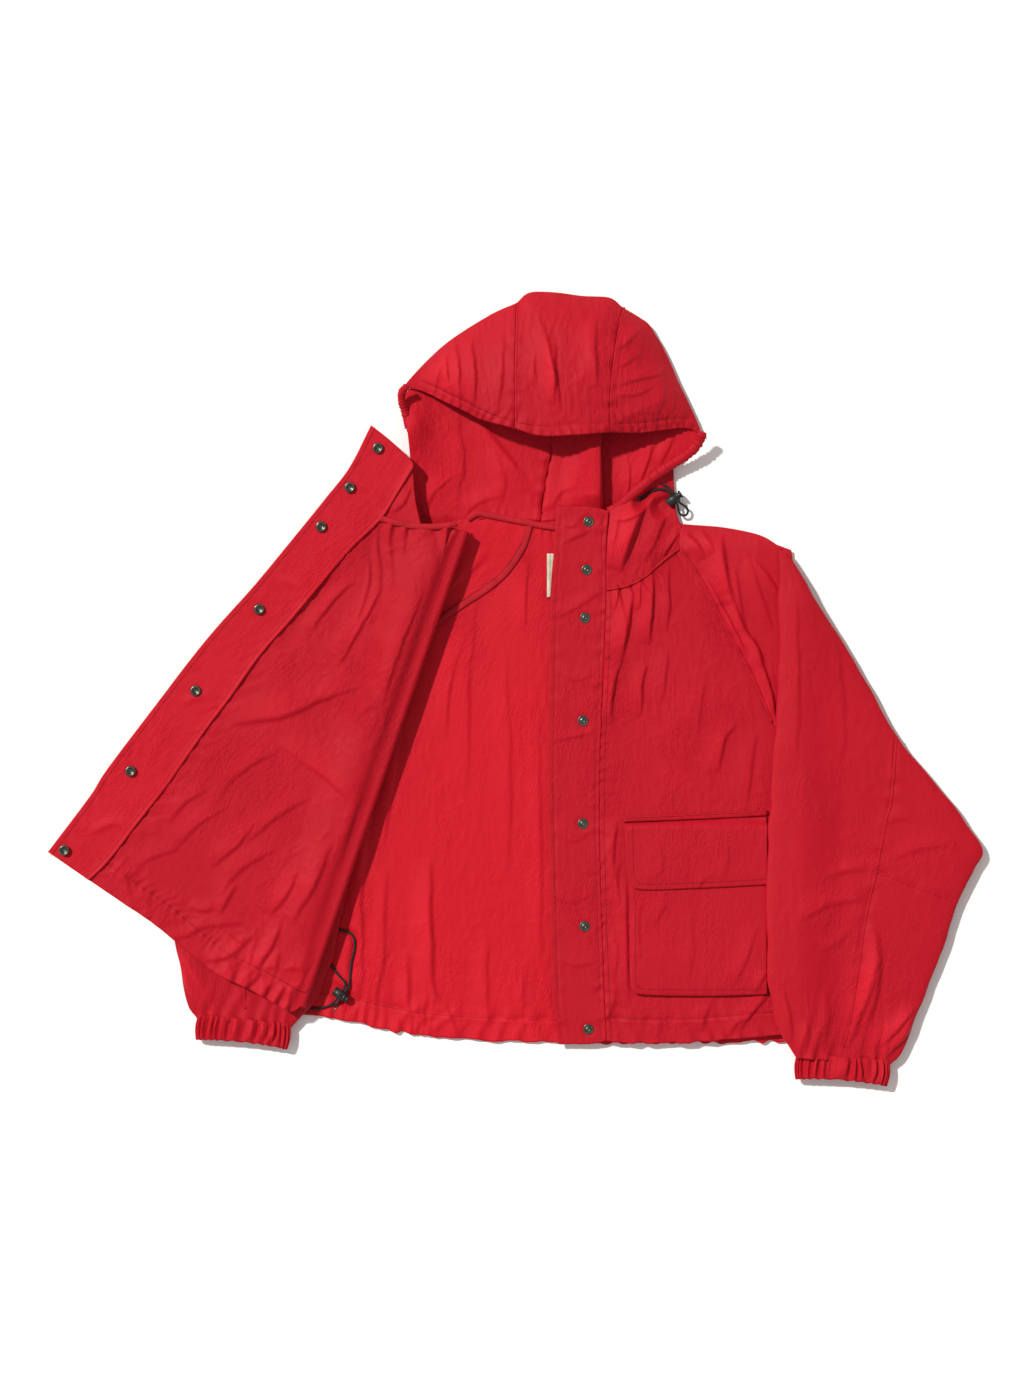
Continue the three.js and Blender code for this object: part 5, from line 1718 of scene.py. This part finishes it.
    def build(self) -> None:
        """Make the sleeve, its seams' welts, its cuff and the elastic in it."""
        word = self.side.word
        grid, bumps = self.grid()
        laid = self.laid(grid)
        if self.side is Side.RIGHT:
            laid, bumps = laid[::-1], bumps[::-1]
        made = wall(laid, bumps / 3, 0.8, around=True).make(f"{word}_sleeve_cloth", OUTSIDE, "nylon")
        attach(made, f"{word}_sleeve")
        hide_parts(f"{word}_sleeve_under", f"{word}_sleeve_upper")
        declare(laid, Held.LAID)
        top = resting(grid[grid.shape[0] // 40 : grid.shape[0] // 2 - grid.shape[0] // 40])
        for part, line in (("long", self.long_seam), ("elbow", self.elbow_seam)):
            row = spline(line, 110)
            path = self.laid(np.column_stack([row, top(row[:, 0], row[:, 1]) + 0.1]))
            rib = rope(path, 1.5, 0.6, 10).make(f"{word}_sleeve_{part}_welt", OUTSIDE, "nylon")
            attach(rib, f"{word}_sleeve")
        self.cuff("cuff", 1.0, 1.7, OUTSIDE)
        self.cuff("cuff_elastic", 0.3, 0.3, ELASTIC)
        log.info("%s sleeve", word)

    def cuff(self, part: str, size: float, rib: float, finish: Finish) -> None:
        """A flat ring drawn in by its elastic: an oval round the wrist, ribbed by its gathers.

        The ribs are a wave round the ring that fades a little at both ends, and its free edge waves with them.
        """
        around, along = 380, 13
        a = np.linspace(0, 2 * np.pi, around, endpoint=False)[:, None]
        t = np.linspace(0, 1, along)[None, :]
        if part == "cuff_elastic":
            t = 0.25 + 0.62 * t
        half, thick = 50.5, 6.2
        wave = noise(26 * np.cos(a / 2) * 1.5 + 4, 26 * np.sin(a / 2) * 1.5, 7 + self.side.value)
        turn = a * 28 / (2 * np.pi) + 0.6 * noise(a * 3.1, t * 0.6, 5 + self.side.value)
        saw = turn - np.floor(turn)
        saw = 2 * ease(saw, 0, 0.62) * (1 - ease(saw, 0.68, 1)) - 0.8
        ribs = rib * np.maximum(saw + 0.5 * wave, -1) * (0.55 + 0.6 * np.sin(np.pi * t))
        cos, sin = np.cos(a), np.sin(a)
        bulge = 1 + 0.03 * np.sin(np.pi * t)
        x = -np.sign(cos) * np.abs(cos) ** 0.8 * (half * size ** 0.2 * bulge + 0.4 * ribs)
        z = np.sign(sin) * np.abs(sin) ** 0.55 * (thick * size * (1 + 0.1 * np.sin(np.pi * t)) + ribs)
        bow = 3.5 * (x / half) ** 2
        y = 5 - (self.cuff_length + 5) * t - bow * t * 0.9 + 0.7 * ribs * t ** 3
        centre = np.array([68.2, -550.5, float(self.middle(np.array(68.0), np.array(-550.0)))])
        tilt = math.atan2(-8, 103.5)
        c, s = math.cos(tilt), math.sin(tilt)
        grid = np.stack([centre[0] + x * c - y * s, centre[1] + x * s + y * c, centre[2] + z], -1)[:, ::-1]
        grid = np.maximum(grid, np.array([-1e9, -1e9, 1.2]))
        laid = self.laid(grid)
        bumps = np.broadcast_to(ribs, laid.shape[:2])
        if self.side is Side.RIGHT:
            laid, bumps = laid[::-1], bumps[::-1]
        word = self.side.word
        made = wall(laid, bumps / 2, 0.9, around=True).make(f"{word}_{part}_cloth", finish,
            "nylon" if rib > 1 else "elastic")
        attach(made, f"{word}_sleeve")
        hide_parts(f"{word}_{part}")
        declare(laid, Held.GATHERED)


@dataclass
class Hood:
    """The hood laid above the collar: its inside, its two side edges, and the crown turned over its mouth."""

    outline: Points = ((-129, 320), (-119, 338), (-80, 376.5), (-32, 408), (-3, 424), (13, 433.5), (40, 434),
        (71, 430), (101.5, 428),
        (116, 419), (135, 406), (147, 396), (159, 372), (178, 334), (192, 305), (203, 279))
    brim: Points = ((-122, 329), (-103.5, 324), (-80, 312), (-56, 300), (-39, 291), (-8, 279), (25, 273), (63, 274),
        (99, 276), (135, 277.5), (159, 281), (186, 284), (203, 277))
    seams: tuple[Points, Points] = (
        ((-3, 281), (-3, 355), (-1, 422)),
        ((101.5, 277), (101.5, 324), (108, 379), (116, 417)),
    )
    rise: float = 37.0

    def inner_lie(self, x: Array, y: Array) -> Array:
        """The inside's height: low in the middle, up over the cord lock at its right edge, and up to the rim."""
        lock = 11.5 * np.exp(-(((x + 116) / 18) ** 2) - ((y - 285) / 26) ** 2)
        step = 16.5 * ease(x, 48, 89) * ease(-x, -95.5, -91) * ease(y, 186, 212) * (1 - ease(y, 330, 390))
        tuck = 2.6 * (1 - ease(y, 172, 190)) * ease(-x, 20, 60)
        return 6.2 + lock + step - tuck + 1.2 * ease(y, 330, 420)

    def build(self) -> None:
        """Make the inside, the crown's three panels and the side bands."""
        self.inside()
        self.crown()
        self.bands()

    def inside(self) -> None:
        """The hood's back and sides seen from inside: three panels, a sewn seam and a deep pleat between them."""
        neck = ((-112, 168), (-84, 171), (-58, 178), (-38, 184), (-20, 184), (25, 181))
        left = ((-112, 168), (-115.5, 219), (-118, 248), (-120.5, 275), (-124, 300), (-124, 322))
        seam = ((25, 181), (31, 225), (37, 269), (30, 340), (20, 428))
        top = ((-124, 322), (-80, 370), (-32, 402), (20, 428))
        features = (
            Crinkle(0.75, 100, 28, 9, 201, 0.9),
            *creases(
                ((14, 219), (-12, 250), (-46, 296), 3.0, 12), ((-70, 200), (-62, 250), (-70, 300), 2.0, 11),
                ((-20, 196), (-16, 230), (-30, 262), 1.8, 9), ((-104, 196), (-92, 216), (-74, 230), 2.2, 8),
                ((-60, 190), (-40, 204), (-16, 210), 1.8, 7),
            ),
            Gather(neck, 1.4, 17, 20, 0, 203),
            Seam(seam[:3], 2.4, 2.4, 2.6, 1.6, 9),
        )
        bend = ((0, 184, 4), (0, 205, 4))
        part = Panel("hood_right_side_cloth", neck, seam, top, left, self.inner_lie, features, INSIDE, 2.6)
        part.build(("body", "hood"), ("hood_right_side",), Held.LAID, ("floor",), bend)
        pleat = ((95, 188), (93, 225), (92, 270), (98, 340), (108, 420))
        features = (
            Crinkle(0.6, 95, 26, 9, 211, 0.6),
            *creases(
                ((58, 192), (64, 225), (60, 262), 1.8, 9), ((36, 196), (48, 214), (66, 222), 1.6, 7),
            ),
            Seam(seam[:3], 1.6, 2.4, 0.0, 0.9, 9),
        )
        part = Panel("hood_back_cloth", ((25, 181), (60, 184), (95, 188)), pleat, ((20, 428), (60, 428), (108, 420)),
            seam,
            self.inner_lie, features, INSIDE, 2.4)
        part.build(("body", "hood"), ("hood_back",), Held.LAID, ("floor",), bend)
        right = ((112, 190), (136, 212), (159, 232), (178, 248), (201, 276))
        features = (
            Crinkle(0.6, 80, 24, 8, 221, 0.7),
            *creases(
                ((132, 220), (141, 245), (150, 272), 2.4, 8), ((156, 244), (166, 262), (172, 278), 2.2, 7),
                ((118, 206), (122, 232), (120, 262), 1.8, 7),
            ),
        )
        lie = lambda x, y: 2.6 + 4.2 * ease(x, 112, 150)
        part = Panel("hood_left_side_cloth", ((88, 188), (112, 190)), right, ((90, 418), (150, 390), (201, 276)),
            ((88, 188), (87, 225), (86, 270), (88, 340), (90, 418)), lie, features, INSIDE, 2.4)
        part.build(("body", "hood"), ("hood_left_side",), Held.LAID, ("floor",), bend)
        log.info("hood inside")

    def crown_height(self, x: Array, y: Array) -> Array:
        """The crown's lie: 8 at its outline, rising to the brim as 1 - exp(-distance / 46), less at its two ends."""
        away, share = beside(spline(self.outline, 60), x, y)
        ends = np.clip(np.minimum(share, 1 - share) * 9, 0.0, 1) ** 0.6
        return 8 + self.rise * (1 - np.exp(-np.abs(away) / 40)) * ends

    def crown(self) -> None:
        """The crown in three panels between its outline and its brim, each seam a dip with puckers."""
        one, two = self.seams
        cuts = (
            ("hood_crown_right", self.brim[:5] + (one[0],), one, self.outline[:4] + (one[-1],),
                ((-122, 329), (-127, 326), (-129, 320))),
            ("hood_crown_centre", (one[0],) + self.brim[6:8] + (two[0],), two,
                (one[-1],) + self.outline[5:9] + (two[-1],), one),
            ("hood_crown_left", (two[0],) + self.brim[9:], ((203, 277), (203.5, 278), (203, 279)),
                (two[-1],) + self.outline[10:], two),
        )
        band = shifted(self.brim, 0, 11)
        for k, (name, low, right, high, left) in enumerate(cuts):
            features = (
                Crinkle(1.0, 93 - 8 * (k - 1), 26, 8, 231, 0.8),
                Gather(self.brim, 1.8, 11, 16, 0, 241),
                Seam(band, 0.6, 1.8, 0.2, 0.6, 10),
                Seam(one, 0.6, 1.8, 0.4, 0.6, 9),
                Seam(two, 1.0, 1.8, 0.9, 1.2, 9),
                *creases(
                    ((46, 298), (38, 345), (27, 396), 4.4, 9, 0.9, 0.08),
                    ((38, 306), (40, 340), (39, 376), 3.4, 6, 0.9, 0.08),
                    ((86, 326), (83, 366), (84, 406), 4.0, 9, 0.9, 0.08), ((20, 330), (17, 350), (18, 366), 1.8, 6),
                    ((-64, 304), (-66, 340), (-70, 382), 4.0, 10), ((-74, 318), (-78, 344), (-80, 368), 3.0, 6),
                    ((-50, 300), (-48, 340), (-52, 386), 3.2, 8), ((-92, 322), (-88, 340), (-84, 356), 3.0, 7),
                    ((-24, 296), (-18, 340), (-20, 384), 2.0, 9), ((104, 368), (118, 376), (136, 394), 2.4, 7),
                    ((108, 330), (134, 337), (162, 346), 2.4, 7), ((106, 318), (130, 320), (150, 330), 1.8, 6),
                    ((108, 350), (122, 356), (136, 366), 1.6, 6), ((150, 296), (160, 318), (158, 350), 1.8, 8),
                ),
            )
            panel = Panel(f"{name}_cloth", low, right, high, left, self.crown_height, features, OUTSIDE, 1.75, 1.0)
            panel.build(("hood",), (name,), Held.LAID, ("hood_back_cloth",))
            if k:
                line = (one, two)[k - 1]
                welt(f"{name}_seam_welt", shifted(line, 1.5, 0), lambda x, y: panel.height(x, y) + 0.2, "hood",
                    1.5, 0.6)
        height = lambda x, y: self.crown_height(x, y) + relief(features, x, y)
        stitches("hood_crown_stitches", [band[1:-1]], height, "hood")
        log.info("hood crown")

    def bands(self) -> None:
        """The gathered channels at the mouth's two sides, each a flattened roll of cloth."""
        for name, line, half, high in (
            ("hood_left_band", ((101, 192, 8.5), (114, 200, 11.5), (130, 214, 13), (147, 228, 13.5), (165, 241, 14),
                (186, 254, 17), (198, 266, 22), (203, 278, 28)), 5.4, 3.6),
            ("hood_right_band", ((-120, 284, 11), (-123.5, 300, 13), (-127, 312, 17), (-127, 322, 22),
                (-121, 329, 26)), 4.2, 3.2),
        ):
            path = spline(line, 130)
            wave = noise(np.arange(130) / 2.1, np.zeros(130), 17) + 0.6 * np.cos(np.arange(130) * 1.3)
            roll = rope(path, half + 0.5 * wave, high + 0.55 * wave, 22).make(name, OUTSIDE, "nylon")
            if "left" in name:
                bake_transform(roll)
            else:
                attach(roll, "hood")
        log.info("hood bands")


# ---- Hardware ----


@dataclass
class Snaps:
    """The seven studs on the left placket and the seven sockets on the right one."""

    count: int = 7

    def build(self) -> None:
        """Turn each stud and socket about its node's middle."""
        for i in range(1, self.count + 1):
            self.stud(f"snap_stud_{i}")
            self.socket(f"snap_socket_{i}")
        log.info("snaps")

    @staticmethod
    def centre(node: str) -> tuple[float, float, float, float]:
        """A node's middle, bottom and top."""
        low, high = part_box(node)
        return (low[0] + high[0]) / 2 / MM, (low[1] + high[1]) / 2 / MM, low[2] / MM, high[2] / MM

    def stud(self, node: str) -> None:
        """A rear plate, a shank, a dished plate in front and the round-headed post."""
        x, y, low, top = self.centre(node)
        face = top - 2.7
        profile = ((0, low), (4.6, low), (5.2, low + 0.2), (5.2, low + 0.8), (1.4, low + 0.9), (1.4, face - 0.9),
            (5.5, face - 0.9),
            (5.8, face - 0.6), (5.75, face - 0.2), (5.3, face), (4.6, face - 0.1), (3.9, face - 0.35),
            (3.0, face - 0.3),
            (2.2, face - 0.1), (1.95, face + 0.5), (2.0, face + 1.5), (2.25, face + 2.0), (2.2, face + 2.4),
            (1.7, face + 2.65),
            (1.2, face + 2.6), (0.9, face + 2.3), (0.7, face + 1.9), (0, face + 1.85))
        self.put(node, profile, Place(x, y, 0), "body", f"{node}_turned")

    def socket(self, node: str) -> None:
        """A cap below, a shank, and the ring whose hollow takes the post, opening upwards."""
        x, y, low, top = self.centre(node)
        profile = ((0, low), (4.5, low + 0.1), (6.1, low + 0.7), (6.2, low + 1.1), (5.8, low + 1.3), (1.4, low + 1.3),
            (1.4, top - 3),
            (5.5, top - 3), (5.85, top - 2.7), (5.85, top - 1.0), (5.5, top - 0.35), (4.9, top), (4.1, top),
            (3.5, top - 0.25),
            (3.1, top - 0.6), (2.95, top - 1.0), (2.8, top - 1.1), (2.75, top - 2.7), (2.5, top - 2.85),
            (0, top - 2.85))
        self.put(node, profile, Place(x, y, 0), "right_front", f"{node}_turned")

    @staticmethod
    def put(node: str, profile: Points, place: Place, body: str, name: str) -> None:
        """Make one turned piece for a node."""
        made = lathe(profile, 40).moved(place).make(name, GUNMETAL, "snap_metal")
        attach(made, body)
        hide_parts(node)


@dataclass
class CordLock:
    """A sprung cord lock: a ribbed barrel with a bore and a slot, and a plunger with a domed cap."""

    name: str
    place: Place
    body: str
    plunger: str
    radius: float = 5.2
    start: float = -8.4
    end: float = 6.0
    bore: float = 3.7
    slot: tuple[float, float, float] = (-1.6, 4.6, 1.55)

    @staticmethod
    def along_x(mesh: Mesh) -> Mesh:
        """A solid turned about z laid along x."""
        x, y, z = mesh.points.T
        return Mesh(np.stack([z, y, -x], -1), mesh.faces, mesh.cloth, mesh.bumps)

    def cutter(self, more: float) -> Mesh:
        """The slot's solid: a flat bar along y with rounded sides."""
        x0, x1, half = self.slot[0], self.slot[1] + more, self.slot[2]
        path = np.array([[(x0 + x1) / 2, -9.0, 0], [(x0 + x1) / 2, 0, 0], [(x0 + x1) / 2, 9.0, 0]])
        return rope(path, (x1 - x0) / 2, half, 24)

    def build(self) -> None:
        """Make the barrel and the plunger; the spring inside keeps the frame's own shape."""
        r, a, b = self.radius, self.start, self.end
        profile = ((0, a), (3.4, a), (4.6, a + 0.3), (r, a + 1.2), (r, a + 2.0), (r - 0.35, a + 2.3),
            (r - 0.35, a + 2.9),
            (r, a + 3.2), (r, b - 2.6), (r - 0.35, b - 2.3), (r - 0.35, b - 1.7), (r, b - 1.4), (r, b - 0.5),
            (r - 0.5, b), (self.bore + 0.2, b), (self.bore, b - 0.3), (self.bore, a + 1.2),
            (self.bore - 0.4, a + 1.0), (0, a + 1.0))
        flute = lambda angle, z: 1 + np.where(np.abs(z - (a + b) / 2) < 4, 0.012, 0.0) * np.cos(16 * angle)
        barrel = self.along_x(lathe(profile, 64, 0, flute))
        self.finish_piece("barrel", barrel, self.cutter(0), self.body)
        cap = b + 2.3
        profile = ((0, -2.8), (2.9, -2.8), (3.4, -2.4), (3.4, cap - 0.6), (3.5, cap - 0.1), (4.4, cap),
            (4.9, cap + 0.4), (4.9, cap + 1.2),
            (4.5, cap + 1.7), (3.4, cap + 1.98), (3.0, cap + 1.8), (0, cap + 1.75))
        plunger = self.along_x(lathe(profile, 48))
        self.finish_piece("plunger", plunger, self.cutter(2.0), self.plunger)
        log.info("%s", self.name)

    def finish_piece(self, part: str, solid: Mesh, cut: Mesh, body: str) -> None:
        """Carve one part, put it in place and fix it to its body."""
        made = carved(f"{self.name}_{part}_moulded", solid.moved(self.place), cut.moved(self.place), BLACK,
            "black_plastic")
        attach(made, body)
        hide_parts(f"{self.name}_{part}")


@dataclass
class Drawcord:
    """A limp elastic cord from its eyelet, through its lock, round a loop and back to its bar."""

    name: str
    route: Points
    place: Place
    body: str
    anchor: tuple[float, float, float]
    diameter: float = 2.5

    def build(self) -> None:
        """Make the cord and its bar, and say how long the cord is."""
        path = self.place.of(spline(self.route, 240))
        cord = rope(path, self.diameter / 2, self.diameter / 2, 14).make(f"{self.name}_cord_braided", CORD, "cord")
        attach(cord, self.body)
        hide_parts(f"{self.name}_cord")
        bar = self.bar()
        length = float(np.linalg.norm(np.diff(path, axis=0), axis=1).sum()) * MM
        metres(path[0])
        [metres(p) for p in path[::3]]
        log.info("%s cord, %.0f mm", self.name, length / MM)

    def bar(self) -> bpy.types.Object:
        """The moulded bar at the cord's end: a rod with domed ends and a waist where the cord is crimped."""
        x, y, z = self.anchor
        t = np.linspace(-1, 1, 41)
        radius = 1.5 * np.sqrt(np.clip(1 - np.clip((np.abs(t) - 0.7) / 0.3, 0, 1) ** 2, 0.002, 1))
        radius = radius * (1 - 0.16 * np.exp(-((t / 0.16) ** 2)))
        path = np.stack([np.full_like(t, x), y + 5 * t, np.full_like(t, z)], -1)
        made = rope(path, radius, radius, 24).make(f"{self.name}_anchor_moulded", BLACK, "black_plastic")
        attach(made, self.body)
        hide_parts(f"{self.name}_anchor")
        return made


HOOD_LOCK = Place(172, 206, 9.8, 35)
HEM_LOCK = Place(-195.5, -340, 7.5, -34)
SIDE_LOCK = Place(-112, 285, 7.5, 180)
HOOD_ROUTE: Points = (
    (-0.6, 20.5, -1.9), (1.9, 15.5, -0.7), (3.05, 10, 0), (3.05, 0, 0), (3.05, -6, 0), (4.6, -11, -1), (6.4, -15.5,
        -2),
    (5.4, -20, -2.4), (1.5, -22.2, -2.5), (-2.4, -20, -2.4), (-3.4, -15.5, -2), (-1.6, -11, -1), (-0.05, -6,
        0), (-0.05, 0, 0),
    (-0.05, 5, 0), (-0.05, 10, 0), (-2.8, 15.5, -0.6), (-9, 19, -2), (-16.7, 21.4, -3.2), (-24, 20.9, -3.7), (-29,
        20.4, -3.7),
)
HEM_ROUTE: Points = (
    (2.2, -15, -3), (2.9, -10.5, -1), (3.05, -6, 0), (3.05, 0, 0), (3.05, 10, 0), (1.9, 15, -0.8), (-3.5, 25, -3.2),
    (-9.7, 37, -3.9), (-14.6, 50, -3.9), (-21.6, 59.5, -3.9), (-31.5, 61.6, -3.9), (-42, 57, -3.9), (-48.2, 48, -3.9),
    (-46.6, 37, -3.9), (-38, 28.5, -3.9), (-26, 21, -3.9), (-14, 16.6, -3.4), (-3.6, 14, -1.2), (-0.05, 9.6,
        0), (-0.05, 0, 0),
    (-0.05, -6, 0), (-0.8, -11, -0.6), (-3.6, -18, -1.9), (-9.5, -25.2, -3.2), (-16, -29.6, -3.7), (-18.8, -31.4,
        -3.7),
)


@dataclass
class Eyelet:
    """A rolled metal ring in the cloth that a cord leaves by."""

    name: str

    def build(self) -> None:
        """Turn the ring about its node's middle: a closed profile round the hole."""
        x, y, low, top = Snaps.centre(self.name)
        t = np.linspace(0, 2 * np.pi, 16, endpoint=False)
        a = np.linspace(0, 2 * np.pi, 40, endpoint=False)[:, None]
        r = 2.9 + 1.05 * np.cos(t)[None, :]
        z = (low + top) / 2 + (top - low) / 2 * np.sin(t)[None, :] * np.ones_like(a)
        grid = np.stack([x + r * np.cos(a), y + r * np.sin(a), z], -1)
        index = np.arange(grid.shape[0] * 16).reshape(-1, 16)
        index = np.vstack([index, index[:1]])
        index = np.hstack([index, index[:, :1]])
        mesh = Mesh(grid.reshape(-1, 3), cells(index), arcs(grid).reshape(-1, 2), np.zeros(grid.shape[0] * 16))
        made = mesh.make(f"{self.name}_rolled", GUNMETAL, "snap_metal")
        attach(made, "hood" if "hood" in self.name else "body")
        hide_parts(self.name)


@dataclass
class Studio:
    """The floor, the light and the camera that looks straight down."""

    view_height: float = 1.5136
    lens: float = 85.0
    film: float = 36.0
    eye_level: float = 0.015
    aim_y: float = -0.0022
    shadow: tuple[float, float] = (0.78, -0.62)
    elevation: float = 48.0

    def camera(self) -> None:
        """A long lens over the middle of the jacket, upright in the picture."""
        data = bpy.data.cameras.new("camera")
        data.lens = self.lens
        data.sensor_fit = "VERTICAL"
        data.sensor_height = self.film
        data.clip_end = 50
        eye = bpy.data.objects.new("camera", data)
        eye.location = (0, self.aim_y, self.eye_level + self.view_height / 2 / (self.film / 2 / self.lens))
        bpy.context.scene.collection.objects.link(eye)
        bpy.context.scene.camera = eye

    def build(self) -> None:
        """Lay the floor and set the key light and the fill."""
        bpy.context.scene.view_settings.view_transform = "Standard"
        grid = np.stack(np.meshgrid([-9000.0, 9000.0], [-9000.0, 9000.0], indexing="ij") + [np.full((2, 2), -0.4)], -1)
        floor = Mesh(grid.reshape(-1, 3), np.array([[0, 2, 3, 1]]), np.zeros((4, 2)), np.zeros(4))
        made = floor.make("floor", PAPER, "nylon")
        key = bpy.data.lights.new("key", "SUN")
        key.energy = 3.3
        key.angle = math.radians(3.5)
        key.color = (1.0, 0.985, 0.96)
        lamp = bpy.data.objects.new("key", key)
        flat = math.cos(math.radians(self.elevation))
        aim = Vector((self.shadow[0] * flat, self.shadow[1] * flat, -math.sin(math.radians(self.elevation))))
        lamp.rotation_euler = aim.to_track_quat("-Z", "Y").to_euler()
        bpy.context.scene.collection.objects.link(lamp)
        world = bpy.data.worlds.new("fill")
        world.use_nodes = True
        shade = world.node_tree.nodes["Background"]
        shade.inputs["Color"].default_value = (1.0, 0.965, 0.95, 1)
        shade.inputs["Strength"].default_value = 0.46
        bpy.context.scene.world = world


def dress_springs() -> None:
    """Give the two springs, which keep the frame's own shape, their steel."""
    for node in ("hood_left_lock_spring", "hem_lock_spring"):
        data = bpy.data.objects[node].data
        data.materials.clear()
        data.materials.append(STEEL.material())


def main() -> None:
    """Build every part of the jacket in order, the camera and the cords first."""
    logging.basicConfig(level=logging.INFO, format="%(message)s")
    studio = Studio()
    studio.camera()
    Drawcord("hood_left", HOOD_ROUTE, HOOD_LOCK, "hood", (134.4, 205.2, 6.1)).build()
    Drawcord("hem", HEM_ROUTE, HEM_LOCK, "body", (-231.4, -356.4, 3.8)).build()
    CordLock("hood_left_lock", HOOD_LOCK, "hood_left_lock", "hood_left_plunger").build()
    CordLock("hem_lock", HEM_LOCK, "hem_lock", "hem_plunger").build()
    CordLock("hood_right_lock", SIDE_LOCK, "hood", "hood_right_plunger").build()
    for name in ("hood_left_eyelet", "hem_eyelet"):
        Eyelet(name).build()
    dress_springs()
    studio.build()
    Back().build()
    LeftFront().build()
    for side in Side:
        Pocket(side).build()
        Sleeve(side).build()
    RightFront().build()
    Hood().build()
    Snaps().build()


if __name__ == "__main__":
    main()
